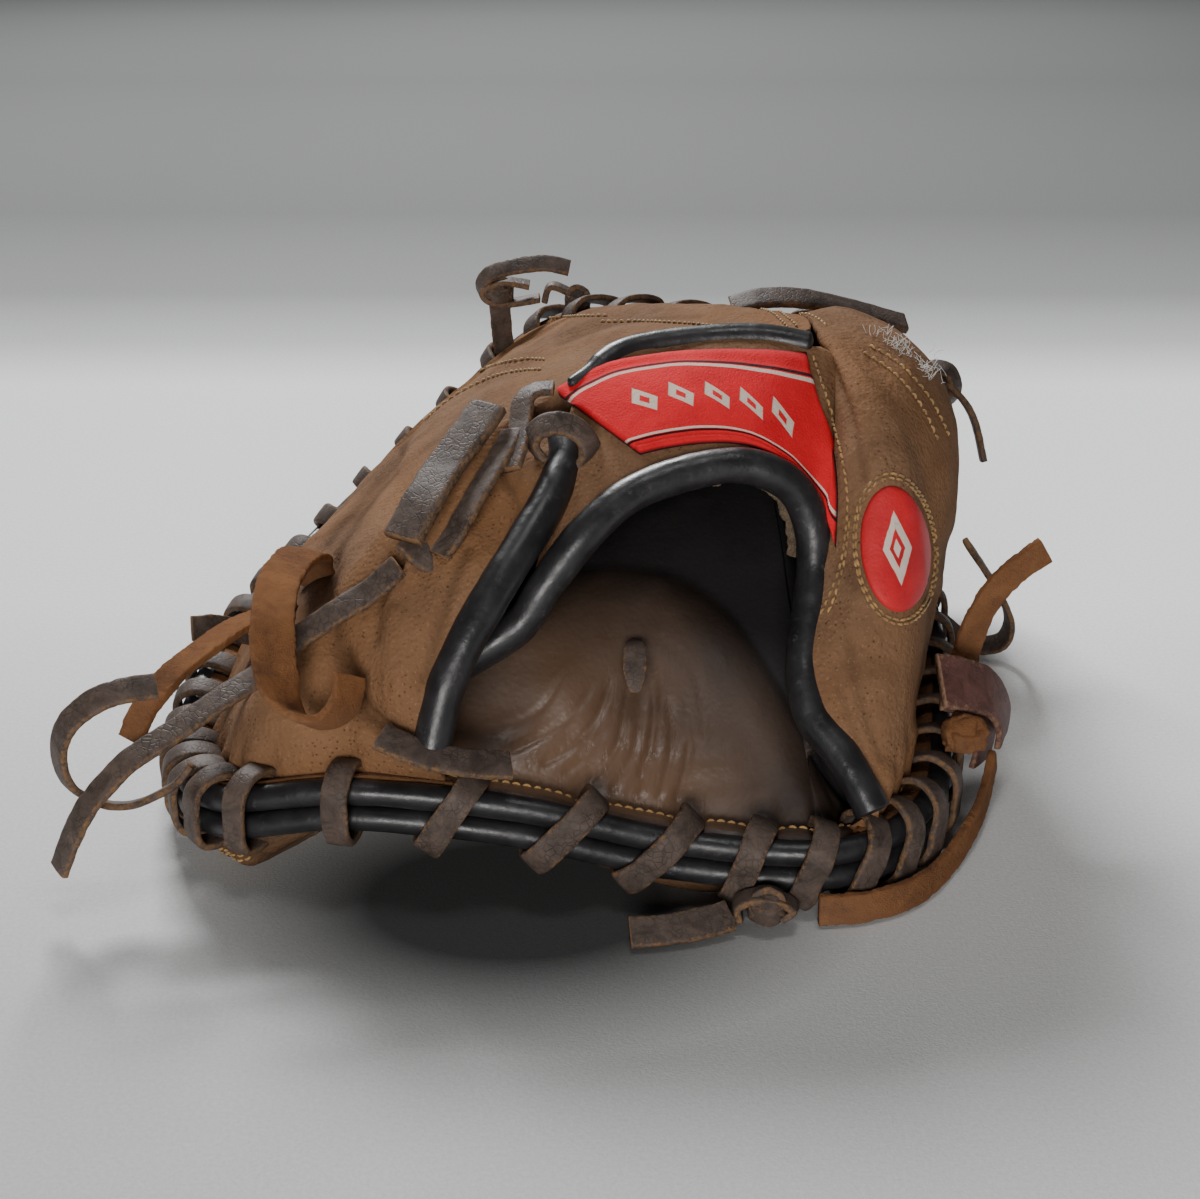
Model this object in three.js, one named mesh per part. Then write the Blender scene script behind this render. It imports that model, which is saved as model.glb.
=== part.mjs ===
// A youth catcher's mitt for the left hand, worn in and lying palm down, so that its broad back faces up.
// Millimetres. +Z is up, +Y runs from the heel to the fingertips and the thumb is on the +X side.
// The origin is on the surface that the mitt lies on, under the middle of the mitt.
import * as THREE from "three";

// Driving sizes
const MIDDLE = { x: 1.3, y: -2 }; // the middle of the mitt in the tables below
const ROLL = { radius: 3.15, apart: 6.9, sides: 6 }; // the two rolls round the rim, one above the other
const LACE = { width: 6.6, thick: 2 };
const LACE_REACH = 5.3; // from a rim roll's centre to the middle of the lace that wraps it
const EDGE_IN = 6.9; // the leather stops this far inside the rim, clear of the lace
const SHELL_THICK = 2.6;
const WRIST_ROLL = 4.7;
const STRAP_ROLL = 3.4;
const WEB_ROLL = 2.5;
const FIT = 0.4; // the gap between pieces that touch
const STRAP_THICK = 2.4;
const PATCH_THICK = 1.2;
const LINING_THICK = 1.8;
const POLE = { x: 45, y: 5, pocket: 66, lining: 78 }; // where the rings of the pad close up
const RIM_STEPS = 60;

// The rim, middle of its two rolls: once round from the heel by the thumb and the fingertips.
// drop is how far the bottom of the pad lies under it.
const RIM = table("x y z drop", [
  [20, -103, 13, 14.5],
  [58, -105, 12, 13.5],
  [81, -84, 13, 14.5],
  [90, -45, 12.5, 13.5],
  [96, 0, 12.5, 13.5],
  [98, 45, 16, 17.5],
  [99, 84, 34, 17],
  [90, 106, 64, 14],
  [76, 82, 85, 11],
  [45, 52, 93, 11],
  [11, 82, 89, 12],
  [-18, 108, 76, 14],
  [-55, 105, 43, 18],
  [-88, 80, 18, 19.5],
  [-105, 30, 12.5, 14],
  [-110, -20, 12.5, 13.5],
  [-107, -62, 14, 15.5],
  [-93, -92, 19, 20],
  [-60, -103, 27, 8],
  [-20, -104, 23, 9],
]);

// The pad's under side from the rim to the pole: in is measured square to the rim,
// then toward is the share of the way to the pole.
const PAD_UNDER = table("in toward drop rise", [
  [6.9, 0, 0.25, 0],
  [7.7, 0, 0.65, 0],
  [13, 0, 1, 0],
  [23, 0.03, 1, 0],
  [23, 0.12, 0.85, 0.13],
  [23, 0.24, 0.6, 0.36],
  [23, 0.4, 0.4, 0.61],
  [23, 0.7, 0.1, 0.9],
]);
const PAD_OVER = table("in toward rise", [
  [6.9, 0, 0],
  [12.5, 0, 0.045],
  [20, 0.04, 0.2],
  [20, 0.2, 0.46],
  [20, 0.4, 0.67],
  [20, 0.7, 0.91],
]);

// The back over the fingers. Each row is a fold line from the rim, at row u of RIM, up to a point on
// the wrist edge or the middle seam. full is how square its arc is and bulge how far it swells.
const FINGER_ROWS = table("u x y z full bulge", [
  [18.62, -9, -38, 100, 1.95, 0],
  [18.34, -14, -27, 99.5, 1.9, 2],
  [18.05, -8, -17, 103.5, 1.85, 2],
  [17.6, 6, -10, 108, 1.75, 2],
  [17, 24, -8, 111.5, 1.7, 0],
  [16.3, 40, -7, 112.5, 1.5, 0],
  [15.5, 54, -7, 113.5, 1.45, 0],
  [14.6, 56, 2, 113, 1.5, 0],
  [13.8, 55, 10, 112, 1.55, 0],
  [13, 54, 17, 110.5, 1.6, 0],
  [12.2, 52, 24, 108.5, 1.7, 0],
  [11.4, 50, 30, 106.5, 1.7, 0],
  [10.7, 48.5, 34, 105, 1.45, 0],
  [10, 47, 36.5, 103.5, 1.15, -3],
  [9.45, 46, 38, 102.5, 1, -2],
]);
const THUMB_ROWS = table("u x y z full bulge", [
  [1.2, 62, -17, 111, 2, 0],
  [1.6, 62, -13, 112, 2.2, 3],
  [2.1, 61, -9, 113, 2.4, 7],
  [3, 60, -3, 113.5, 2.5, 12],
  [4, 58, 5, 112.5, 2.5, 14],
  [5, 57, 11, 112, 2.4, 11],
  [6, 56, 15, 111, 1.9, 2],
  [6.8, 55, 19, 110, 1.35, -4],
  [7.5, 53.5, 22.5, 109, 1.1, -7],
  [8.1, 50, 30.5, 106.5, 1, -4],
  [8.6, 47, 37, 103.5, 1, -3],
]);
const SHELL_STEPS = 8;
const ROWS_FINER = 2; // fold lines for each row of these tables
const CLOSE_STEPS = 120; // steps of a path that a grid keeps clear of
const SEAM_GAP = 0.8;
const EDGE_SPARE = 1.2; // a back's edge stands this much further from its roll than the fit

// Roll along the wrist edge of the finger back, from the heel up to the strap
const FINGER_ROLL_PATH = [
  [-39.3, -101.5, 43],
  [-38, -99.5, 49],
  [-36, -97, 56],
  [-31, -92, 66],
  [-24, -84, 76],
  [-18, -75, 83],
  [-12, -64, 90],
  [-8.5, -52, 95],
  [-8.5, -42, 98.5],
];
// Roll of the lower edge of the strap, which goes on down the wrist edge of the thumb back
const THUMB_ROLL_PATH = [
  [-20, -80, 63],
  [-13, -78, 73],
  [-4, -74, 85],
  [6, -68, 93],
  [19, -63, 97],
  [34, -59, 99],
  [45, -57, 97],
  [53, -56, 91],
  [57.5, -57, 81],
  [57, -61, 72],
  [53.5, -67, 63],
  [50.5, -73, 55],
  [49.5, -80, 48],
  [52, -86, 41],
  [58, -92, 35],
  [63, -98, 28],
  [65.5, -101, 23.5],
];
const THUMB_EDGE_FROM = 16; // rows of THUMB_ROLL_PATH that bound the thumb back, heel first
const THUMB_EDGE_TO = 9;
// Seam of the strap with the thumb back, going on up from that edge
const STRAP_SEAM = [
  [61, -52, 88],
  [63, -42, 98],
  [64, -30, 106],
  [62, -17, 111],
];
// The strap, left to right: its top roll and its lower roll (row of THUMB_ROLL_PATH)
const STRAP_ROWS = table("x y z low rise", [
  [-2, -29, 110.5, 2.3, 1],
  [4, -24, 113.5, 2.8, 2],
  [12, -20, 115, 3.4, 3],
  [27, -17, 116, 4.5, 3.5],
  [42, -16, 116, 5.5, 3],
  [55, -17, 114, 7.3, 2],
]);
const STRAP_ROLL_END = new THREE.Vector3(-8, -31.5, 110); // its top roll starts left of the strap
const LABEL_ROWS = table("across top low", [
  [0.15, 0.08, 0.3],
  [1, 0.05, 0.62],
  [2, 0.05, 0.8],
  [3, 0.05, 0.74],
  [4, 0.05, 0.84],
  [4.86, 0.1, 0.96],
]);
const PATCH = { u: 1.98, h: 0.49, alongU: 0.36, alongH: 0.105, steps: 14 };
const WEB_ROWS = table("left right rise", [
  [9.55, 8.45, 0],
  [9.95, 8.1, 1],
  [10.4, 7.72, 2],
  [10.8, 7.35, 3],
  [11.1, 7.05, 4],
]);
const WEB_EDGE_OUT = 12.8; // from the rim to the web's leather, past the web's own roll and the lace

// Free laces, knots and ties: flat strips along hand-placed points, facing this way at their start
const SUEDE = { width: 8, thick: 2.4 };
const FREE_LACES = [
  {
    name: "heel_lace_end",
    facing: [-0.3, -0.6, 0.7],
    steps: 16,
    points: [
      [-48.1, -78.3, 78.2], [-55.4, -80, 72], [-64, -83, 67.5], [-74.5, -83, 59.5], [-82, -86, 53],
      [-90.5, -92, 49.5], [-99.5, -98, 45], [-110.5, -104, 39.5], [-116.5, -106, 34],
      [-121.5, -107, 28], [-125.5, -108, 20.5], [-129, -108, 12],
    ],
  },
  {
    name: "heel_lace_loop",
    facing: [0, -0.6, 0.8],
    steps: 18,
    points: [
      [-104, -98, 56], [-112, -101, 56], [-119.5, -102, 53], [-125.5, -102, 47], [-128, -101, 39],
      [-126.5, -100, 30.5], [-120, -98, 24.5], [-113, -97, 23.5], [-107, -96, 25.5],
      [-102.3, -93.8, 27.7], [-98.8, -92, 31.6],
    ],
  },
  {
    name: "suede_tie_loop",
    suede: true,
    width: 10.5,
    facing: [0.2, 0.1, 1],
    steps: 16,
    points: [
      [-75.5, -30, 59.7], [-74.5, -44, 67], [-75.5, -58, 72], [-77.5, -74, 72.5],
      [-77.5, -87, 68.5], [-76, -96, 61.5], [-73, -101, 54.5], [-68.5, -103, 51], [-63, -102, 52],
      [-59, -98, 56.5],
    ],
  },
  {
    name: "suede_tie_end",
    suede: true,
    facing: [-0.4, -0.5, 0.75],
    steps: 12,
    points: [
      [-83.4, -40, 49.3], [-91.5, -52, 51], [-97.5, -66, 51.5], [-103.5, -78, 50.5],
      [-107.5, -85, 47.5], [-111, -89, 43], [-113, -91, 38],
    ],
  },
  {
    name: "side_lace_stub",
    facing: [-0.3, -0.8, 0.5],
    steps: 5,
    points: [
      [-91.2, -33, 39], [-100.5, -37, 43], [-107, -40, 44],
    ],
  },
  {
    name: "strap_lace_fold",
    width: 10,
    thick: 4,
    facing: [-0.35, -0.55, 0.75],
    steps: 8,
    points: [
      [-28.5, -44.5, 105.2], [-31.9, -49.3, 100.5], [-37.8, -57.2, 94.8], [-42.5, -67.5, 90],
      [-47, -74.5, 84],
    ],
  },
  {
    name: "strap_lace_end",
    facing: [-0.9, 0, 0.4],
    steps: 12,
    points: [
      [-11.5, -39.5, 110], [-16, -39.5, 109.5], [-19, -42, 107.5], [-19.7, -47.5, 103.5],
      [-20.5, -55, 99.5], [-22, -60.5, 96],
    ],
  },
  {
    name: "strap_lace_loop",
    width: 6,
    facing: [-0.7, -0.3, 0.7],
    steps: 12,
    points: [
      [-14.5, -52.5, 101.5], [-13.3, -52, 104.5], [-10.5, -51, 107], [-5, -52, 107.5],
      [0, -54, 105.5],
    ],
  },
  {
    name: "fingertip_knot",
    facing: [0, 0, -1],
    steps: 14,
    points: [
      [-18.9, 100, 93.5], [-28, 100, 92], [-35, 100, 93], [-36.5, 100, 96.5], [-30, 100, 98.7],
      [-22, 100, 97.7],
    ],
  },
  {
    name: "fingertip_lace_end",
    width: 5,
    facing: [0, -0.2, 1],
    steps: 8,
    points: [
      [-32.5, 99, 101.5], [-27, 99, 103], [-20, 99, 105], [-10, 99, 105],
    ],
  },
  {
    name: "fingertip_lace_bow",
    width: 5,
    facing: [-1, 0, 0.2],
    steps: 8,
    points: [
      [-17.5, 103, 91.5], [-15.5, 103, 96.5], [-9.5, 102.7, 94.5], [-3.5, 102.4, 90.2],
    ],
  },
  {
    name: "thumb_top_lace",
    width: 8,
    thick: 2.6,
    facing: [0, -0.35, 0.9],
    steps: 12,
    points: [
      [38, 50, 105], [46, 50.5, 107.3], [58, 52, 107], [73, 56, 102.8], [90, 60, 97],
    ],
  },
  {
    name: "thumb_knot",
    facing: [-1, 0, 0.2],
    steps: 14,
    points: [
      [98, 77.3, 75.2], [101, 76.3, 78.2], [106.5, 75.3, 77.7], [109, 74.3, 72.2],
      [106, 74.3, 67.7], [100.5, 76.3, 67.2],
    ],
  },
  {
    name: "thumb_knot_end",
    width: 4.5,
    facing: [0.9, 0, 0.4],
    steps: 8,
    points: [
      [110.7, 71.3, 69.8], [114.7, 70, 63], [118, 68, 51],
    ],
  },
  {
    name: "thumb_side_loop",
    facing: [0.8, 0, 0.6],
    steps: 16,
    points: [
      [106.5, 22, 42], [111.5, 25, 34.5], [118.5, 29, 23], [122.5, 32, 13.5], [121.5, 34, 6],
      [116, 35, 3.8], [109.5, 35, 6], [103.2, 35, 11.5],
    ],
  },
  {
    name: "suede_thumb_end",
    suede: true,
    facing: [0.9, -0.3, 0.2],
    steps: 12,
    points: [
      [96.4, -35, 21.8], [96.8, -34.5, 29.5], [99.2, -33, 40], [103, -31, 48], [109.5, -28.5, 55],
      [118, -26, 60.5],
    ],
  },
  {
    name: "thumb_side_tab",
    width: 15,
    thick: 2,
    facing: [0.3, -0.6, 0.7],
    steps: 10,
    points: [
      [86.7, -59.6, 38.4], [94, -56.3, 35.7], [101.5, -51.8, 30.7], [105.5, -50, 23.5],
      [105.5, -50, 17],
    ],
  },
  {
    name: "suede_heel_end",
    suede: true,
    facing: [0.9, -0.4, 0],
    steps: 18,
    points: [
      [103, -53, 12], [100.5, -61, 8.5], [97, -71, 7], [92.5, -81, 6], [87, -91, 5],
      [80.5, -101, 4.8], [72.5, -108.5, 4.8], [62, -113.2, 4.8], [52, -114.5, 4.8],
    ],
  },
  {
    name: "heel_knot",
    width: 6,
    facing: [-1, 0, 0],
    steps: 12,
    points: [
      [33, -115.3, 3.5], [32.5, -115.3, 7], [36, -115.3, 9], [42, -115.3, 8.5], [46, -115.7, 6],
      [43, -116.2, 3.5],
    ],
  },
  {
    name: "heel_knot_end",
    width: 8,
    facing: [0, -0.5, 0.8],
    steps: 8,
    points: [
      [30.8, -116.5, 4.6], [23, -119.5, 4.1], [15, -121.5, 3.8], [7, -122.5, 3.8],
    ],
  },
  {
    name: "heel_tab",
    width: 8,
    facing: [0, -0.3, 1],
    steps: 10,
    points: [
      [-53, -104, 40.5], [-45, -105.5, 39.6], [-36, -105.5, 38.4], [-28, -104, 37],
      [-21, -102, 36],
    ],
  },
  {
    name: "lining_lace",
    width: 6,
    facing: [0, 0.6, 0.8],
    steps: 6,
    points: [
      [8.6, -63.8, 51.9], [8.6, -68.3, 51.9], [8.6, -73.3, 48.4], [8.6, -77.3, 43.9],
    ],
  },
];
const SUEDE_BALL = { x: 92.7, y: -66, z: 26.3, radius: 5.5 };
const FINGER_LINING = { fromRow: 10, toRow: 20, fromStep: 4, thick: 1.2 };

const COLOURS = {
  leather: 0x5d4334,
  pad: 0x6a4630,
  lining: 0x3c2a22,
  roll: 0x1c1b1e,
  lace: 0x2b2220,
  suede: 0x7d4a2c,
  red: 0xb01f2b,
  cloth: 0x201f1f,
};

// Tables, vectors and curves

function table(names, rows) {
  const keys = names.split(" ");
  return rows.map((row) => Object.fromEntries(keys.map((key, k) => [key, row[k]])));
}

function vec(x, y, z) {
  return new THREE.Vector3(x, y, z);
}

// A table's column at a fractional row, on the smooth curve through the rows.
function column(rows, key, at, closed = false) {
  const count = rows.length;
  const row = Math.floor(at);
  const t = at - row;
  const wrapped = (k) => ((k % count) + count) % count;
  const clamped = (k) => Math.min(Math.max(k, 0), count - 1);
  const value = (k) => rows[closed ? wrapped(k) : clamped(k)][key];
  const [a, b, c, d] = [value(row - 1), value(row), value(row + 1), value(row + 2)];
  return b + 0.5 * t * (c - a + t * (2 * a - 5 * b + 4 * c - d + t * (3 * (b - c) + d - a)));
}

function pointOn(rows, at, closed = false) {
  const keys = Array.isArray(rows[0]) ? [0, 1, 2] : ["x", "y", "z"];
  return vec(...keys.map((key) => column(rows, key, at, closed)));
}

function mix(a, b, t) {
  return a + (b - a) * t;
}

// Rim frame: p on the rim, along it, up across its two rolls, out of the mitt.
function rimFrame(u) {
  const near = 0.02;
  const p = pointOn(RIM, u, true);
  const along = pointOn(RIM, u + near, true).sub(pointOn(RIM, u - near, true)).normalize();
  const up = vec(0, 0, 1).addScaledVector(along, -along.z).normalize();
  return { p, along, up, out: along.clone().cross(up) };
}

function fromRim(u, out, up) {
  const rim = rimFrame(u);
  return rim.p.addScaledVector(rim.out, out).addScaledVector(rim.up, up);
}

// Closed solids

function solid(name, colour, points, faces) {
  const position = new Float32Array(points.flatMap((p) => [p.x, p.y, p.z]));
  let volume = 0;
  for (const [a, b, c] of faces) volume += points[a].dot(points[b].clone().cross(points[c]));
  const index = faces.flatMap(([a, b, c]) => (volume < 0 ? [a, c, b] : [a, b, c]));
  const geometry = new THREE.BufferGeometry();
  geometry.setAttribute("position", new THREE.BufferAttribute(position, 3));
  geometry.setIndex(index);
  geometry.computeVertexNormals();
  const shiny = colour === COLOURS.roll || colour === COLOURS.lining;
  const material = new THREE.MeshStandardMaterial({ color: colour, roughness: shiny ? 0.45 : 0.8 });
  const mesh = new THREE.Mesh(geometry, material);
  mesh.name = name;
  return mesh;
}

function quad(faces, a, b, c, d) {
  faces.push([a, b, c], [a, c, d]);
}

function gridNormals(grid) {
  const rows = grid.length;
  const cols = grid[0].length;
  return grid.map((line, i) =>
    line.map((_, j) => {
      const across = grid[Math.min(i + 1, rows - 1)][j].clone().sub(grid[Math.max(i - 1, 0)][j]);
      const along = line[Math.min(j + 1, cols - 1)].clone().sub(line[Math.max(j - 1, 0)]);
      return across.cross(along).normalize();
    }),
  );
}

// The grid moved along its normals, which are turned to point away from the inside of the mitt.
function offsetGrid(grid, distance) {
  const inside = vec(POLE.x - 20, POLE.y - 10, 50);
  const normals = gridNormals(grid);
  const middle = [Math.floor(grid.length / 2), Math.floor(grid[0].length / 2)];
  const probe = grid[middle[0]][middle[1]].clone().sub(inside);
  const turn = probe.dot(normals[middle[0]][middle[1]]) < 0 ? -1 : 1;
  const moved = (p, i, j) => p.clone().addScaledVector(normals[i][j], distance * turn);
  return grid.map((line, i) => line.map((p, j) => moved(p, i, j)));
}

// A sheet of leather: the space between a grid of points moved out by top and by bottom.
function sheet(name, colour, grid, top, bottom) {
  const rows = grid.length;
  const cols = grid[0].length;
  const points = [...offsetGrid(grid, top).flat(), ...offsetGrid(grid, bottom).flat()];
  const upper = (i, j) => i * cols + j;
  const lower = (i, j) => rows * cols + i * cols + j;
  const faces = [];
  for (let i = 0; i < rows - 1; i++) {
    for (let j = 0; j < cols - 1; j++) {
      quad(faces, upper(i, j), upper(i + 1, j), upper(i + 1, j + 1), upper(i, j + 1));
      quad(faces, lower(i, j), lower(i, j + 1), lower(i + 1, j + 1), lower(i + 1, j));
    }
  }
  for (let i = 0; i < rows - 1; i++) {
    quad(faces, upper(i, 0), lower(i, 0), lower(i + 1, 0), upper(i + 1, 0));
    quad(faces, upper(i, cols - 1), upper(i + 1, cols - 1), lower(i + 1, cols - 1), lower(i, cols - 1));
  }
  for (let j = 0; j < cols - 1; j++) {
    quad(faces, upper(0, j), upper(0, j + 1), lower(0, j + 1), lower(0, j));
    quad(faces, upper(rows - 1, j), lower(rows - 1, j), lower(rows - 1, j + 1), upper(rows - 1, j + 1));
  }
  return solid(name, colour, points, faces);
}

// A section swept along frames of { p, a, b }, with flat ends or closed on itself.
function sweep(name, colour, frames, section, closed = false) {
  const sides = section.length;
  const points = frames.flatMap(({ p, a, b }) =>
    section.map(([x, y]) => p.clone().addScaledVector(a, x).addScaledVector(b, y)),
  );
  const faces = [];
  const last = closed ? frames.length : frames.length - 1;
  for (let k = 0; k < last; k++) {
    const next = (k + 1) % frames.length;
    for (let s = 0; s < sides; s++) {
      const t = (s + 1) % sides;
      quad(faces, k * sides + s, k * sides + t, next * sides + t, next * sides + s);
    }
  }
  if (!closed) {
    const end = (frames.length - 1) * sides;
    for (let s = 1; s < sides - 1; s++) {
      faces.push([0, s + 1, s], [end, end + s, end + s + 1]);
    }
  }
  return solid(name, colour, points, faces);
}

function round(radius, sides) {
  return Array.from({ length: sides }, (_, k) => {
    const turn = (2 * Math.PI * (k + 0.5)) / sides;
    return [radius * Math.cos(turn), radius * Math.sin(turn)];
  });
}

function flat(width, thick) {
  return [
    [-width / 2, -thick / 2],
    [width / 2, -thick / 2],
    [width / 2, thick / 2],
    [-width / 2, thick / 2],
  ];
}

// Frames along a path, carried on without twist from a first facing, then twisted evenly to the end.
function carriedFrames(path, facing, twist = 0) {
  let b = vec(...facing);
  return path.map((p, k) => {
    const along = path[Math.min(k + 1, path.length - 1)].clone().sub(path[Math.max(k - 1, 0)]).normalize();
    b = b.clone().addScaledVector(along, -b.dot(along)).normalize();
    const turned = b.clone().applyAxisAngle(along, (twist * Math.PI * k) / (180 * (path.length - 1)));
    return { p, a: along.clone().cross(turned), b: turned };
  });
}

function pathThrough(rows, steps, from = 0, to = rows.length - 1) {
  return Array.from({ length: steps + 1 }, (_, k) => pointOn(rows, mix(from, to, k / steps)));
}

function tube(name, colour, path, radius, sides) {
  return sweep(name, colour, carriedFrames(path, [0, 0, 1]), round(radius, sides));
}

// Rim rolls and the laces round them

function rimRoll(name, up) {
  const frames = Array.from({ length: RIM_STEPS }, (_, k) => {
    const rim = rimFrame((k * RIM.length) / RIM_STEPS);
    return { p: rim.p.addScaledVector(rim.up, up), a: rim.out, b: rim.up };
  });
  return sweep(name, COLOURS.roll, frames, round(ROLL.radius, ROLL.sides), true);
}

// One turn of lace: it crosses the outer side on a slant and comes back behind the rolls.
const TURN = table("angle slant", [
  [0, 0.5],
  [60, 0.85],
  [120, 1],
  [180, 1],
  [180, 1],
  [240, 1],
  [300, 1.15],
  [360, 1.5],
]);

// Lace wound round the rim rolls, and round whatever lies up to wide outside them.
function rimLace(name, from, to, turns, wide = 0) {
  const frames = [];
  for (let turn = 0; turn < turns; turn++) {
    TURN.forEach(({ angle, slant }, k) => {
      const share = (turn + slant - 0.5) / turns;
      const rim = rimFrame(mix(from, to, share));
      const radians = (angle * Math.PI) / 180;
      const half = k < TURN.length / 2 ? ROLL.apart / 2 : -ROLL.apart / 2;
      const outward = rim.out.clone().multiplyScalar(Math.cos(radians));
      outward.addScaledVector(rim.up, Math.sin(radians));
      const shift = wide * Math.max(Math.cos(radians), 0);
      const p = rim.p.addScaledVector(rim.up, half).addScaledVector(outward, LACE_REACH);
      frames.push({ p: p.addScaledVector(rim.out, shift), a: rim.along, b: outward });
    });
  }
  return sweep(name, COLOURS.lace, frames, flat(LACE.width, LACE.thick));
}

// The padded palm

function padPoint(u, ring, bottom) {
  const start = fromRim(u, -ring.in, 0);
  const rimZ = column(RIM, "z", u, true);
  const low = bottom ? rimZ - column(RIM, "drop", u, true) * ring.drop : rimZ;
  const top = bottom ? POLE.pocket : POLE.lining;
  const x = mix(start.x, POLE.x, ring.toward);
  const y = mix(start.y, POLE.y, ring.toward);
  return vec(x, y, Math.max(mix(low, top, ring.rise), 0));
}

function palmPad() {
  const rings = [...PAD_UNDER.map((ring) => [ring, true]), ...PAD_OVER.map((ring) => [ring, false])];
  const points = rings.flatMap(([ring, bottom]) =>
    Array.from({ length: RIM_STEPS }, (_, k) => padPoint((k * RIM.length) / RIM_STEPS, ring, bottom)),
  );
  const under = points.push(vec(POLE.x, POLE.y, POLE.pocket)) - 1;
  const over = points.push(vec(POLE.x, POLE.y, POLE.lining)) - 1;
  const faces = [];
  const at = (ring, k) => ring * RIM_STEPS + (k % RIM_STEPS);
  const lower = PAD_UNDER.length;
  for (let k = 0; k < RIM_STEPS; k++) {
    for (let r = 0; r < lower - 1; r++) quad(faces, at(r, k), at(r + 1, k), at(r + 1, k + 1), at(r, k + 1));
    for (let r = lower; r < rings.length - 1; r++) {
      quad(faces, at(r, k), at(r, k + 1), at(r + 1, k + 1), at(r + 1, k));
    }
    quad(faces, at(0, k), at(0, k + 1), at(lower, k + 1), at(lower, k));
    faces.push([at(lower - 1, k), under, at(lower - 1, k + 1)]);
    faces.push([at(rings.length - 1, k), at(rings.length - 1, k + 1), over]);
  }
  return solid("palm_pad", COLOURS.pad, points, faces);
}

// The lining leather lies on the pad between the two corners of the heel.
function palmLining() {
  const sector = RIM_STEPS / RIM.length;
  const grid = [];
  for (let k = -2.25 * sector; k <= 3 * sector; k++) {
    grid.push(PAD_OVER.slice(1).map((ring) => padPoint(k / sector, ring, false)));
  }
  return sheet("palm_lining", COLOURS.lining, grid, FIT + LINING_THICK, FIT);
}

// The two halves of the back

// The rows of a table and the rows between them, each as plain values
function finer(rows, times) {
  const count = (rows.length - 1) * times + 1;
  return Array.from({ length: count }, (_, k) =>
    Object.fromEntries(Object.keys(rows[0]).map((key) => [key, column(rows, key, k / times)])),
  );
}

function foldLine(row, side) {
  const foot = fromRim(row.u, -EDGE_IN - SHELL_THICK / 2, SHELL_THICK / 2 + 2 * FIT);
  const head = vec(row.x + side * SEAM_GAP, row.y, row.z);
  const away = vec(foot.x - head.x, foot.y - head.y, 0).normalize();
  return Array.from({ length: SHELL_STEPS + 1 }, (_, k) => {
    const angle = (Math.PI / 2) * (k / SHELL_STEPS);
    const near = Math.cos(angle) ** (2 / row.full);
    const high = Math.sin(angle) ** (2 / row.full);
    const p = vec(mix(head.x, foot.x, near), mix(head.y, foot.y, near), mix(foot.z, head.z, high));
    return p.addScaledVector(away, row.bulge * Math.sin(2 * angle));
  });
}

function topRollPath(steps) {
  return [STRAP_ROLL_END, ...pathThrough(STRAP_ROWS, steps)];
}

// Moves a back clear of the laces round both rim rolls.
function clearLaces(grid) {
  const steps = RIM.length * 20;
  const reach = LACE_REACH + LACE.thick / 2 + 2 * FIT + SHELL_THICK / 2;
  for (const up of [ROLL.apart / 2, -ROLL.apart / 2]) {
    const roll = Array.from({ length: steps }, (_, k) => fromRim((k * RIM.length) / steps, 0, up));
    keepClear(grid, roll, reach);
  }
}

// Pulls the first fold lines up to the roll that edges them.
function fitEdge(grid, edge, roll) {
  const reach = [1, 0.8, 0.55, 0.35, 0.2];
  const clear = WRIST_ROLL + FIT + EDGE_SPARE;
  const off = edge.map((p, j) => p.clone().sub(grid[0][j]));
  reach.forEach((share, i) => grid[i].forEach((p, j) => p.addScaledVector(off[j], share)));
  grid[0].forEach((p, j) => p.addScaledVector(grid[1][j].clone().sub(p).normalize(), clear));
  keepClear(grid, roll, WRIST_ROLL + FIT + SHELL_THICK / 2 + EDGE_SPARE / 2);
}

// Moves the points of a grid that lie too near a path straight away from it.
function keepClear(grid, path, reach) {
  for (const p of grid.flat()) {
    const near = path.reduce((best, q) => (q.distanceTo(p) < best.distanceTo(p) ? q : best));
    const off = p.clone().sub(near);
    if (off.length() < reach) p.copy(near).addScaledVector(off.normalize(), reach);
  }
}

function resample(points, steps) {
  const curve = new THREE.CatmullRomCurve3(points);
  return curve.getSpacedPoints(steps);
}

function fingerGrid() {
  const grid = finer(FINGER_ROWS, ROWS_FINER).map((row) => foldLine(row, -1));
  const edge = resample([grid[0][0].clone(), ...FINGER_ROLL_PATH.map((p) => vec(...p))], SHELL_STEPS);
  edge[0].copy(grid[0][0]);
  fitEdge(grid, edge, pathThrough(FINGER_ROLL_PATH, CLOSE_STEPS));
  keepClear(grid, topRollPath(CLOSE_STEPS), STRAP_ROLL + FIT + SHELL_THICK / 2 + EDGE_SPARE / 2);
  clearLaces(grid);
  return grid;
}

function thumbGrid() {
  const grid = finer(THUMB_ROWS, ROWS_FINER).map((row) => foldLine(row, 1));
  const wrist = THUMB_ROLL_PATH.slice(THUMB_EDGE_TO, THUMB_EDGE_FROM + 1).reverse();
  const line = [...wrist, ...STRAP_SEAM].map((p) => vec(...p));
  const edge = resample([grid[0][0].clone(), ...line], SHELL_STEPS);
  fitEdge(grid, edge, pathThrough(THUMB_ROLL_PATH, CLOSE_STEPS));
  clearLaces(grid);
  return grid;
}

// The strap between its two rolls, and what is sewn on it

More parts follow.
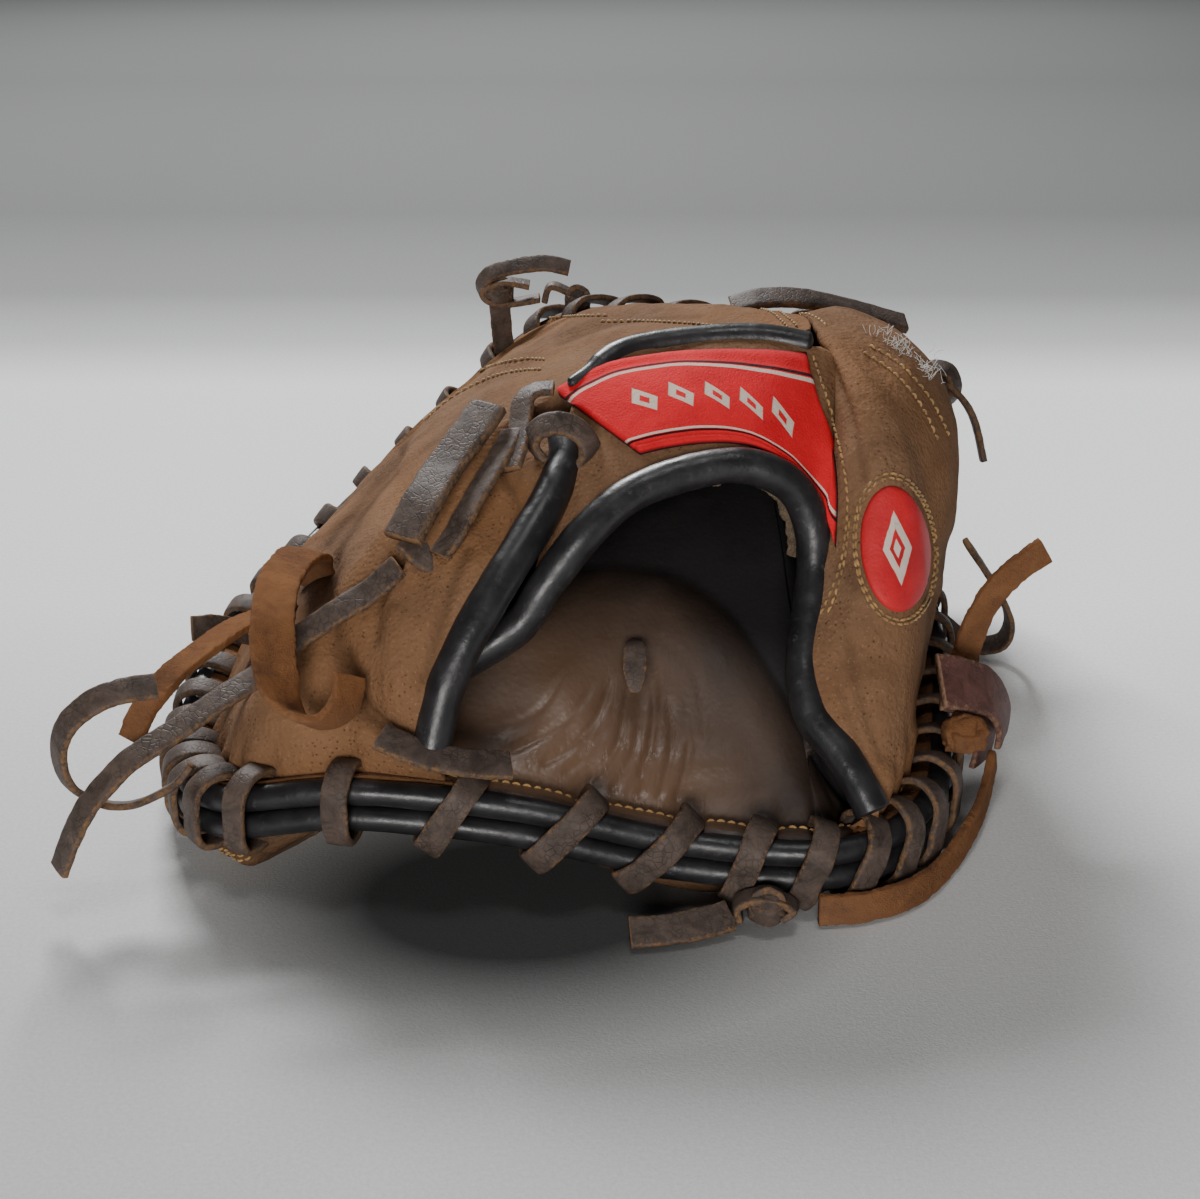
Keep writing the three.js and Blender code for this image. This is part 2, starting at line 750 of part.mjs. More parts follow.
function strapGrid() {
  const steps = 6;
  const grid = finer(STRAP_ROWS, ROWS_FINER).map((row) => {
    const high = vec(row.x, row.y, row.z);
    const low = pointOn(THUMB_ROLL_PATH, row.low);
    const down = low.clone().sub(high).normalize();
    high.addScaledVector(down, STRAP_ROLL + FIT + EDGE_SPARE);
    low.addScaledVector(down, -WRIST_ROLL - FIT - EDGE_SPARE);
    return Array.from({ length: steps + 1 }, (_, k) => {
      const p = high.clone().lerp(low, k / steps);
      p.z += row.rise * Math.sin((Math.PI * k) / steps);
      return p;
    });
  });
  keepClear(grid, pathThrough(THUMB_ROLL_PATH, CLOSE_STEPS), WRIST_ROLL + FIT + EDGE_SPARE);
  keepClear(grid, topRollPath(CLOSE_STEPS), STRAP_ROLL + FIT + EDGE_SPARE);
  return grid;
}

// A point of a grid between its rows and columns
function onGrid(grid, i, j) {
  const row = Math.min(Math.floor(i), grid.length - 2);
  const col = Math.min(Math.floor(j), grid[0].length - 2);
  const first = grid[row][col].clone().lerp(grid[row][col + 1], j - col);
  const second = grid[row + 1][col].clone().lerp(grid[row + 1][col + 1], j - col);
  return first.lerp(second, i - row);
}

function strapLabel(strap) {
  const across = 12;
  const down = 3;
  const last = strap[0].length - 1;
  const grid = Array.from({ length: across + 1 }, (_, k) => {
    const at = ((LABEL_ROWS.length - 1) * k) / across;
    const i = ROWS_FINER * column(LABEL_ROWS, "across", at);
    const top = column(LABEL_ROWS, "top", at);
    const low = column(LABEL_ROWS, "low", at);
    return Array.from({ length: down + 1 }, (__, m) => onGrid(strap, i, last * mix(top, low, m / down)));
  });
  const base = STRAP_THICK / 2 + FIT + 0.5;
  return sheet("strap_label", COLOURS.red, grid, base + PATCH_THICK, base);
}

// The oval patch on the thumb: a disc of rings on the thumb back
function thumbPatch(thumb) {
  const rings = [0.5, 1];
  const outer = offsetGrid(thumb, SHELL_THICK / 2 + FIT + EDGE_SPARE);
  const proud = offsetGrid(thumb, SHELL_THICK / 2 + FIT + EDGE_SPARE + PATCH_THICK);
  const rows = finer(THUMB_ROWS, ROWS_FINER);
  const place = (grid, u, h) => {
    const row = rows.findIndex((_, k) => u < rows[k + 1].u);
    const i = row + (u - rows[row].u) / (rows[row + 1].u - rows[row].u);
    return onGrid(grid, i, h * SHELL_STEPS);
  };
  const points = [];
  const faces = [];
  for (const grid of [proud, outer]) {
    points.push(place(grid, PATCH.u, PATCH.h));
    for (const ring of rings) {
      for (let k = 0; k < PATCH.steps; k++) {
        const turn = (2 * Math.PI * k) / PATCH.steps;
        const u = PATCH.u + PATCH.alongU * ring * Math.cos(turn);
        points.push(place(grid, u, PATCH.h + PATCH.alongH * ring * Math.sin(turn)));
      }
    }
  }
  const half = points.length / 2;
  const at = (side, ring, k) => side * half + 1 + ring * PATCH.steps + (k % PATCH.steps);
  for (let k = 0; k < PATCH.steps; k++) {
    faces.push([0, at(0, 0, k), at(0, 0, k + 1)], [half, at(1, 0, k + 1), at(1, 0, k)]);
    quad(faces, at(0, 0, k), at(0, 1, k), at(0, 1, k + 1), at(0, 0, k + 1));
    quad(faces, at(1, 0, k), at(1, 0, k + 1), at(1, 1, k + 1), at(1, 1, k));
    quad(faces, at(0, 1, k), at(1, 1, k), at(1, 1, k + 1), at(0, 1, k + 1));
  }
  return solid("thumb_patch", COLOURS.red, points, faces);
}

// The web fills the notch between thumb and fingertips.
function webGrid() {
  const steps = 8;
  return WEB_ROWS.map((row) => {
    const left = fromRim(row.left, WEB_EDGE_OUT, 0);
    const right = fromRim(row.right, WEB_EDGE_OUT, 0);
    return Array.from({ length: steps + 1 }, (_, k) => {
      const p = left.clone().lerp(right, k / steps);
      p.z += row.rise * Math.sin((Math.PI * k) / steps);
      return p;
    });
  });
}

function webRoll() {
  const out = ROLL.radius + WEB_ROLL + FIT;
  const first = WEB_ROWS.at(-1).right;
  const last = WEB_ROWS.at(-1).left;
  const steps = 24;
  const path = Array.from({ length: steps + 1 }, (_, k) => fromRim(mix(first, last, k / steps), out, 0));
  return tube("web_roll", COLOURS.roll, path, WEB_ROLL, ROLL.sides);
}

// The black cloth under the back of the fingers
function fingerLining(grid) {
  const { fromRow, toRow, fromStep, thick } = FINGER_LINING;
  const part = grid.slice(fromRow, toRow + 1).map((line) => line.slice(fromStep, SHELL_STEPS));
  const under = -SHELL_THICK / 2 - FIT;
  return sheet("finger_lining", COLOURS.cloth, part, under, under - thick);
}

function freeLace({ name, points, facing, steps, suede, width, thick }) {
  const size = suede ? SUEDE : LACE;
  const section = flat(width ?? size.width, thick ?? size.thick);
  const frames = carriedFrames(pathThrough(points, steps), facing);
  return sweep(name, suede ? COLOURS.suede : COLOURS.lace, frames, section);
}

// The knotted end of the suede tie, a rough ball
function suedeBall() {
  const { x, y, z, radius } = SUEDE_BALL;
  const ball = new THREE.Mesh(
    new THREE.SphereGeometry(radius, 10, 7),
    new THREE.MeshStandardMaterial({ color: COLOURS.suede, roughness: 0.9 }),
  );
  ball.name = "suede_knot";
  ball.position.set(x, y, z);
  return ball;
}

const mitt = new THREE.Group();
mitt.name = "catchers_mitt";
mitt.position.set(-MIDDLE.x, -MIDDLE.y, 0);

const fingers = fingerGrid();
const thumb = thumbGrid();
const strap = strapGrid();
mitt.add(
  palmPad(),
  palmLining(),
  sheet("finger_back", COLOURS.leather, fingers, SHELL_THICK / 2, -SHELL_THICK / 2),
  sheet("thumb_back", COLOURS.leather, thumb, SHELL_THICK / 2, -SHELL_THICK / 2),
  sheet("wrist_strap", COLOURS.leather, strap, STRAP_THICK / 2, -STRAP_THICK / 2),
  strapLabel(strap),
  thumbPatch(thumb),
  tube("finger_roll", COLOURS.roll, pathThrough(FINGER_ROLL_PATH, 16), WRIST_ROLL, 8),
  tube("strap_thumb_roll", COLOURS.roll, pathThrough(THUMB_ROLL_PATH, 28), WRIST_ROLL, 7),
  tube("strap_top_roll", COLOURS.roll, topRollPath(12), STRAP_ROLL, 8),
  rimRoll("rim_roll_upper", ROLL.apart / 2),
  rimRoll("rim_roll_lower", -ROLL.apart / 2),
  rimLace("heel_lace", -2.7, 2.1, 13),
  rimLace("thumb_rim_lace", 2.25, 6.85, 10),
  rimLace("finger_rim_lace", 11.25, 17.1, 13),
  rimLace("web_lace_thumb", 7.5, 8.5, 2, 2 * WEB_ROLL + FIT),
  rimLace("web_lace_finger", 9.5, 11, 4, 2 * WEB_ROLL + FIT),
  sheet("web", COLOURS.leather, webGrid(), SHELL_THICK / 2, -SHELL_THICK / 2),
  webRoll(),
  fingerLining(fingers),
  suedeBall(),
  ...FREE_LACES.map(freeLace),
);

export default mitt;
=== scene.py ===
import math
import random

import bpy
import numpy as np
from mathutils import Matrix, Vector
from mathutils.bvhtree import BVHTree


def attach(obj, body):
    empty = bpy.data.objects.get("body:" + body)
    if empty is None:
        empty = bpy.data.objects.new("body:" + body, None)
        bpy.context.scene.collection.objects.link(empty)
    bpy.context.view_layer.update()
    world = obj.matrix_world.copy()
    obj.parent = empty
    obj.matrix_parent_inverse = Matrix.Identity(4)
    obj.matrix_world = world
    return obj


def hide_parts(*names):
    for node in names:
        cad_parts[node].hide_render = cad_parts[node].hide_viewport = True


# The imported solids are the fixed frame. Each is dressed by a finer surface worked out from the same
# tables, in millimetres, and turned into metres of the part's frame as its mesh is made.
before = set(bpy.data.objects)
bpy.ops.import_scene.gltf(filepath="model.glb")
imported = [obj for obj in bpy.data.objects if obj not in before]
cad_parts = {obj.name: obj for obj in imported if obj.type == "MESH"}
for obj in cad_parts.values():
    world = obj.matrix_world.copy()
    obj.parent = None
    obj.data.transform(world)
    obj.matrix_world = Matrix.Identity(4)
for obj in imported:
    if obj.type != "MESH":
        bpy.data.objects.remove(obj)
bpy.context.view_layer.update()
random.seed(7)

MM = 0.001
MIDDLE = np.array([1.3, -2.0, 0.0])

# Camera
EYE = np.array([0.0, -539.72, 274.84])
AIM = np.array([0.0, -19.0, 43.0])
LENS = 63.0
SENSOR = 36.0
PHOTO_WIDE = 1200
PHOTO_HIGH = 1199
FOCAL = LENS / SENSOR * PHOTO_WIDE


def metres(points):
    return (np.asarray(points, float) - MIDDLE) * MM


def unit(v):
    v = np.asarray(v, float)
    return v / np.maximum(np.linalg.norm(v, axis=-1, keepdims=True), 1e-9)


def clamp(value, top=1):
    return np.clip(value, 0, top)


def bell(far, width):
    """1 at no distance, falling smoothly to about a third at this width."""
    return np.exp(-((far / width) ** 2))


def moved(points, normals, by):
    return points + normals * by[..., None]


FORWARD = unit(AIM - EYE)
RIGHT = unit(np.cross(FORWARD, [0, 0, 1]))
UPWARD = np.cross(RIGHT, FORWARD)

camera_data = bpy.data.cameras.new("camera")
camera_data.lens = LENS
camera_data.sensor_width = SENSOR
camera_data.clip_start = 0.01
camera_data.clip_end = 20
camera = bpy.data.objects.new("camera", camera_data)
camera.location = metres(EYE)
camera.rotation_euler = Vector(FORWARD).to_track_quat("-Z", "Y").to_euler()
bpy.context.scene.collection.objects.link(camera)
bpy.context.scene.camera = camera


def to_pixel(points):
    off = np.asarray(points, float) - EYE
    depth = off @ FORWARD
    across = PHOTO_WIDE / 2 + FOCAL * (off @ RIGHT) / depth
    down = PHOTO_HIGH / 2 - FOCAL * (off @ UPWARD) / depth
    return np.stack([across, down], -1)


def pixel_ray(x, y):
    return unit(FORWARD + RIGHT * (x - PHOTO_WIDE / 2) / FOCAL + UPWARD * (PHOTO_HIGH / 2 - y) / FOCAL)


# Sizes shared with the part, in millimetres
ROLL_RADIUS = 3.15
ROLL_APART = 6.9
LACE_WIDTH = 6.6
LACE_THICK = 2.0
SUEDE_WIDTH = 8.0
SUEDE_THICK = 2.4
EDGE_IN = 6.9
SHELL_THICK = 2.6
FIT = 0.4
WRIST_ROLL = 4.7
STRAP_ROLL = 3.4
WEB_ROLL = 2.5
STRAP_THICK = 2.4
POLE = np.array([45.0, 5.0])
POLE_POCKET = 66.0
POLE_LINING = 78.0
# How far the web's edge lies out from the rim line
WEB_OUT = 6.3
TAB_WIDTH = 15
CLOTH_HALF = 0.6

# x, y, z of the rim and how far the pad's bottom lies under it
RIM = np.array([
    (20, -103, 13, 14.5), (58, -105, 12, 13.5), (81, -84, 13, 14.5), (90, -45, 12.5, 13.5),
    (96, 0, 12.5, 13.5), (98, 45, 16, 17.5), (99, 84, 34, 17), (90, 106, 64, 14),
    (76, 82, 85, 11), (45, 52, 93, 11), (11, 82, 89, 12), (-18, 108, 76, 14),
    (-55, 105, 43, 18), (-88, 80, 18, 19.5), (-105, 30, 12.5, 14), (-110, -20, 12.5, 13.5),
    (-107, -62, 14, 15.5), (-93, -92, 19, 20), (-60, -103, 27, 8), (-20, -104, 23, 9),
], float)
# in from the rim, share of the way to the pole, share of the drop, share of the rise
PAD_UNDER = np.array([
    (1.2, 0, 0.38, 0), (2.2, 0, 0.5, 0), (4.2, 0, 0.7, 0), (7.4, 0, 0.9, 0), (12.5, 0, 1, 0),
    (23, 0.03, 1, 0), (23, 0.12, 0.85, 0.13), (23, 0.24, 0.6, 0.36), (23, 0.4, 0.4, 0.61),
    (23, 0.7, 0.1, 0.9), (23, 1, 0, 1),
], float)
# in from the rim, share of the way to the pole, share of the rise, height over the rim
PAD_OVER = np.array([
    (6.9, 0, 0, 0), (12.5, 0, 0.045, 0), (20, 0.04, 0.2, 0), (20, 0.2, 0.46, 0), (20, 0.4, 0.67, 0),
    (20, 0.7, 0.91, 0), (20, 1, 1, 0),
], float)
LINING_OVER = np.array([
    (2.2, 0, 0, 4.6), (4.4, 0, 0, 5.6), (7.4, 0, 0.01, 4.6), (12.5, 0, 0.05, 2.2), (20, 0.04, 0.2, 2.2),
    (20, 0.2, 0.46, 2.2), (20, 0.4, 0.67, 2.2), (20, 0.7, 0.91, 2.2), (20, 1, 1, 2.2),
], float)
# u on the rim, x, y, z of the head, how square the arc is, how far it swells
FINGER_ROWS = np.array([
    (18.62, -9, -38, 100, 1.95, 0), (18.34, -14, -27, 99.5, 1.9, 2), (18.05, -8, -17, 103.5, 1.85, 2),
    (17.6, 6, -10, 108, 1.75, 2), (17, 24, -8, 111.5, 1.7, 0), (16.3, 40, -7, 112.5, 1.5, 0),
    (15.5, 54, -7, 113.5, 1.45, 0), (14.6, 56, 2, 113, 1.5, 0), (13.8, 55, 10, 112, 1.55, 0),
    (13, 54, 17, 110.5, 1.6, 0), (12.2, 52, 24, 108.5, 1.7, 0), (11.4, 50, 30, 106.5, 1.7, 0),
    (10.7, 48.5, 34, 105, 1.45, 0), (10, 47, 36.5, 103.5, 1.15, -3), (9.45, 46, 38, 102.5, 1, -2),
    (9.02, 46.5, 39, 102, 1, -1),
], float)
THUMB_ROWS = np.array([
    (1.2, 62, -17, 111, 2, 0), (1.6, 61, -13, 112, 2.2, 1), (2.1, 58.6, -9, 113.2, 2.3, 4.5),
    (3, 56.8, -3, 113.6, 2.4, 10), (4, 56.6, 5, 112.8, 2.5, 14), (5, 55.8, 11, 112, 2.4, 11),
    (6, 55.2, 15, 111, 1.9, 2), (6.8, 54, 19, 110, 1.35, -4), (7.5, 52.8, 23.5, 109, 1.1, -7),
    (8.1, 50, 30.5, 106.5, 1, -4), (8.6, 47, 37, 103.5, 1, -3), (8.98, 46.2, 39, 102.4, 1, -1),
], float)
# The first fold lines are drawn to the roll by these shares, one for each half row
EDGE_REACH = [1, 0.8, 0.55, 0.35, 0.2, 0]
FINGER_ROLL_PATH = np.array([
    (-39.3, -101.5, 43), (-38, -99.5, 49), (-36, -97, 56), (-31, -92, 66), (-24, -84, 76),
    (-18, -75, 83), (-12, -64, 90), (-8.5, -52, 95), (-8.5, -42, 98.5),
], float)
FINGER_ROLL_END = (-40.2, -103, 39)
THUMB_ROLL_PATH = np.array([
    (-20, -80, 63), (-13, -78, 73), (-4, -74, 84), (6, -68, 91.5), (18.5, -63, 95.3), (32.5, -59.5, 96.8),
    (42, -58.5, 94.3), (48.6, -57.5, 88.8), (52.4, -58.5, 80), (53, -61.5, 71.5), (52, -67, 63),
    (50.3, -73, 55), (49.8, -80, 48), (52, -86, 41), (58, -92, 35), (63, -98, 28), (65.5, -101, 23.5),
], float)
THUMB_ROLL_END = (-36, -82, 53)
THUMB_EDGE_TO = 9
STRAP_SEAM = np.array([(58.6, -52, 87.6), (60.2, -42, 97.2), (60.8, -30, 105.2), (60, -17, 110.8)], float)
# x, y, z of the strap's top edge, place of its lower edge on the lower roll, swell
STRAP_ROWS = np.array([
    (-11, -61, 89.5, 0.5, 0), (-8, -45, 101, 1.4, 0.5), (-2, -29, 110.5, 2.3, 1), (4, -24, 113.5, 2.8, 2),
    (12, -20, 115, 3.4, 3), (27, -17, 116, 4.5, 3.5), (42, -16, 116, 5.5, 3), (55, -17, 114, 7.3, 2.5),
    (60, -17, 112, 8.0, 4), (67, -15, 107.5, 8.5, 3),
], float)
STRAP_ROLL_ROWS = slice(2, 8)
STRAP_ROLL_END = (-8, -33, 108.8)
# left and right end on the rim, swell
WEB_ROWS = np.array([
    (9.04, 8.96, 0), (9.25, 8.75, 0), (9.55, 8.45, 0), (9.95, 8.1, 1), (10.4, 7.72, 2), (10.8, 7.35, 3),
    (11.1, 7.05, 4),
], float)


# Curves and noise

def curve(rows, at, closed=False):
    """The smooth curve through the rows at fractional row numbers."""
    rows = np.asarray(rows, float)
    at = np.asarray(at, float)
    row = np.floor(at).astype(int)
    t = (at - row)[..., None]
    count = len(rows)

    def pick(k):
        return rows[k % count] if closed else rows[np.clip(k, 0, count - 1)]

    a, b, c, d = pick(row - 1), pick(row), pick(row + 1), pick(row + 2)
    return b + 0.5 * t * (c - a + t * (2 * a - 5 * b + 4 * c - d + t * (3 * (b - c) + d - a)))


def through(rows, steps):
    return curve(rows, np.linspace(0, len(rows) - 1, steps + 1))


def run_along(line):
    """How far each point of a line is from its start, along it."""
    return np.concatenate([[0], np.cumsum(np.linalg.norm(np.diff(line, axis=0), axis=1))])


def spaced(points, steps):
    """Points at even distances along the smooth curve through the given ones."""
    line = through(points, 60 * len(points))
    run = run_along(line)
    want = np.linspace(0, run[-1], steps + 1)
    return np.stack([np.interp(want, run, line[:, k]) for k in range(line.shape[1])], -1)


def from_ends(count):
    """How many points each of a row lies from its nearer end."""
    return np.minimum(np.arange(count), np.arange(count)[::-1])


def rim_frame(u):
    near = 0.02
    u = np.asarray(u, float)
    p = curve(RIM, u, True)[..., :3]
    along = unit(curve(RIM, u + near, True)[..., :3] - curve(RIM, u - near, True)[..., :3])
    up = unit(np.array([0, 0, 1.0]) - along * along[..., 2:3])
    return p, along, up, np.cross(along, up)


def from_rim(u, out, up):
    p, _, upward, outward = rim_frame(u)
    return p + outward * np.asarray(out)[..., None] + upward * np.asarray(up)[..., None]


HASH_AXES = (73856093, 19349663, 83492791)
HASH_SEED = 2654435761
HASH_MIX = 1274126177


def lattice(points, seed):
    """Smooth noise from -1 to 1 on a unit lattice."""
    cell = np.floor(points).astype(np.int64)
    t = points - cell
    t = t * t * t * (t * (t * 6 - 15) + 10)
    total = np.zeros(points.shape[:-1])
    for corner in np.ndindex(2, 2, 2):
        spot = cell + np.array(corner)
        code = seed * HASH_SEED
        for axis, factor in enumerate(HASH_AXES):
            code = code ^ spot[..., axis] * factor
        code = (code ^ (code >> 13)) * HASH_MIX & 0x7FFFFFFF
        code = (code ^ (code >> 16)) & 0xFFFF
        weight = np.prod(np.where(np.array(corner) == 1, t, 1 - t), axis=-1)
        total += weight * (code / 32767.5 - 1)
    return total


def rough(points, size, seed, octaves=3):
    """Noise whose largest lumps are of this size in millimetres."""
    total = np.zeros(np.asarray(points).shape[:-1])
    strength = 1.0
    for k in range(octaves):
        total += strength * lattice(np.asarray(points) / size * 2**k + 31.7 * (k + 1), seed + k)
        strength *= 0.5
    return total


def rough_shift(points, size, seed):
    """Noise in all three directions."""
    return np.stack([rough(points, size, seed + k, 2) for k in range(3)], -1)


# Meshes

# The surfaces that stitches and trim are laid on
DRESSED = {}


def grid_faces(rows, cols, start=0, wrap=False, flip=False):
    i, j = np.meshgrid(np.arange(rows if wrap else rows - 1), np.arange(cols - 1), indexing="ij")
    i, j = i.ravel(), j.ravel()
    n = (i + 1) % rows
    faces = np.stack([i * cols + j, n * cols + j, n * cols + j + 1, i * cols + j + 1], -1) + start
    return faces[:, ::-1] if flip else faces


def grid_normals(grid):
    across = np.gradient(grid, axis=0)
    along = np.gradient(grid, axis=1)
    return unit(np.cross(across, along))


def normals_toward(grid, spot, way=(0, 0, 1)):
    """A grid's normals, on the side that points this way at one of its points."""
    normals = grid_normals(grid)
    return normals if normals[spot] @ way > 0 else -normals


def plain(faces):
    return [tuple(int(k) for k in face) for face in faces]


def build(name, points, faces, materials, slot, nodes=(), smooth=True, uv=None, kinds=None, **values):
    """A mesh object in metres from points in millimetres. values are numbers for each point."""
    mesh = bpy.data.meshes.new(name)
    mesh.from_pydata([tuple(p) for p in metres(points)], [], plain(faces))
    for m in materials if isinstance(materials, (list, tuple)) else [materials]:
        mesh.materials.append(m)
    if kinds is not None:
        mesh.polygons.foreach_set("material_index", np.asarray(kinds, np.int32))
    mesh.polygons.foreach_set("use_smooth", np.full(len(mesh.polygons), smooth))
    if uv is not None:
        layer = mesh.uv_layers.new(name="UVMap")
        corners = np.empty(len(mesh.loops), np.int32)
        mesh.loops.foreach_get("vertex_index", corners)
        layer.data.foreach_set("uv", np.asarray(uv, np.float32)[corners].ravel())
    for key, value in values.items():
        data = mesh.attributes.new(key, "FLOAT", "POINT")
        data.data.foreach_set("value", np.asarray(value, np.float32).ravel())
    mesh.validate()
    mesh.update()
    obj = bpy.data.objects.new(name, mesh)
    bpy.context.scene.collection.objects.link(obj)
    if slot:
        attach(obj, "root")
    if nodes:
        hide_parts(*nodes)
    return obj


def keep_surface(name, points, faces):
    """Remembers a surface so that stitches and trim can be laid on it."""
    DRESSED[name] = BVHTree.FromPolygons([tuple(p) for p in points], plain(faces))


def closed_sheet_faces(rows, cols):
    """Faces of a sheet whose second half of points is its under side."""
    half = rows * cols
    faces = np.concatenate([grid_faces(rows, cols), grid_faces(rows, cols, half, flip=True)]).tolist()
    edge = [i * cols for i in range(rows)]
    edge += [(rows - 1) * cols + j for j in range(1, cols)]
    edge += [i * cols + cols - 1 for i in range(rows - 2, -1, -1)]
    edge += [j for j in range(cols - 2, 0, -1)]
    for a, b in zip(edge, edge[1:] + edge[:1]):
        faces.append([a, half + a, half + b, b])
    return faces


def inner_kinds(rows, cols, bare_rows=slice(0, 0), bare_cols=slice(0, 0)):
    """Material numbers for such a sheet: the second for its under side, but for the bare part."""
    side = (rows - 1) * (cols - 1)
    under = np.ones((rows - 1, cols - 1), int)
    under[bare_rows, bare_cols] = 0
    return [0] * side + under.ravel().tolist() + [0] * (2 * (rows + cols) - 4)


def sheet(
    name, grid, normals, over, under, materials, slot, nodes=(), keep=None, uv=None, kinds=None, **values,
):
    """A closed sheet, this far over and under a grid. The grid's values serve both of its sides."""
    rows, cols = grid.shape[:2]
    count = rows * cols
    points = np.concatenate([grid + normals * over, grid - normals * under]).reshape(-1, 3)
    faces = closed_sheet_faces(rows, cols)
    values = {key: np.resize(value, 2 * count) for key, value in values.items()}
    uv = None if uv is None else np.resize(uv, (2 * count, 2))
    build(name, points, faces, materials, slot, nodes, uv=uv, kinds=kinds, **values)
    if keep:
        keep_surface(keep, points[:count], grid_faces(rows, cols))


def hit(x, y, names):
    """The first point of these surfaces seen at a pixel of the photograph, and its normal."""
    ray = Vector(pixel_ray(x, y))
    best = None
    for name in names:
        spot, normal, _, far = DRESSED[name].ray_cast(Vector(EYE), ray)
        if spot is not None and (best is None or far < best[2]):
            best = (np.array(spot), np.array(normal if normal.dot(ray) < 0 else -normal), far)
    return best


def nearest(point, name):
    spot, normal, _, _ = DRESSED[name].find_nearest(Vector(point))
    return np.array(spot), np.array(normal)


def pixel_line(points, steps):
    return spaced(np.array(points, float), steps)


def line_distance(spots, line):
    """Distance of each spot to a polyline, both in pixels."""
    best = np.full(spots.shape[:-1], 1e9)
    for a, b in zip(line[:-1], line[1:]):
        run = b - a
        t = clamp(((spots - a) @ run) / max(run @ run, 1e-9))
        best = np.minimum(best, np.linalg.norm(spots - a - t[..., None] * run, axis=-1))
    return best


def press(points, normals, creases):
    """Moves a surface in or out along lines drawn in the photograph: (depth mm, width px, points)."""
    spots = to_pixel(points)
    seen = np.einsum("...k,...k->...", normals, unit(EYE - points)) > -0.1
    move = np.zeros(points.shape[:-1])
    for depth, width, line in creases:
        far = line_distance(spots, pixel_line(line, 12))
        move -= depth * bell(far, width)
    return moved(points, normals, move * seen)


def crease_shade(points, creases):
    """How dark the painted shade of the inward creases is."""
    spots = to_pixel(points)
    shade = np.zeros(points.shape[:-1])
    for depth, width, line in creases:
        if depth > 0:
            far = line_distance(spots, pixel_line(line, 12))
            shade = np.maximum(shade, min(0.42, 0.26 * depth) * bell(far, 0.6 * width))
    return shade


def carried(path, facing):
    """Directions across a path and square to its flat side, carried along without twist."""
    along = unit(np.gradient(path, axis=0))
    square = np.empty_like(path)
    side = np.asarray(facing, float)
    for k, t in enumerate(along):
        side = unit(side - t * (side @ t))
        square[k] = side
    return np.cross(along, square), square


def strip_section(width, thick, count=14):
    turn = 2 * np.pi * (np.arange(count) + 0.5) / count
    power = 0.42
    x = width / 2 * np.sign(np.cos(turn)) * np.abs(np.cos(turn)) ** power
    y = thick / 2 * np.sign(np.sin(turn)) * np.abs(np.sin(turn)) ** power
    return np.stack([x, y], -1)


def round_section(radius, count=16):
    turn = 2 * np.pi * np.arange(count) / count
    return radius * np.stack([np.cos(turn), np.sin(turn)], -1)


def swept(path, across, square, section, closed=False, scale=None):
    """Points and faces of a section swept along a path."""
    scale = np.ones(len(path)) if scale is None else scale
    shape = section[None] * scale[:, None, None]
    points = path[:, None] + across[:, None] * shape[..., :1] + square[:, None] * shape[..., 1:]
    rows, sides = len(path), len(section)
    ring = np.concatenate([points, points[:, :1]], axis=1)
    faces = grid_faces(rows, sides + 1, wrap=closed)
    index = np.arange(rows * (sides + 1)).reshape(rows, sides + 1)
    index = (index // (sides + 1)) * sides + (index % (sides + 1)) % sides
    faces = index.ravel()[faces].tolist()
    if not closed:
        faces.append(list(range(sides)))
        faces.append(list(range(rows * sides - 1, (rows - 1) * sides - 1, -1)))
    return ring[:, :-1].reshape(-1, 3), faces


class Heap:
    """Several swept shapes gathered into one mesh."""

    def __init__(self):
        self.points, self.faces, self.values = [], [], {}
        self.count = 0

    def add(self, points, faces, **values):
        self.points.append(points)
        self.faces += [[k + self.count for k in face] for face in faces]
        for key, value in values.items():
            self.values.setdefault(key, []).append(np.broadcast_to(value, len(points)))
        self.count += len(points)

    def build(self, name, material, slot, nodes=()):
        values = {key: np.concatenate(parts) for key, parts in self.values.items()}
        return build(name, np.concatenate(self.points), self.faces, material, slot, nodes, **values)


# Materials

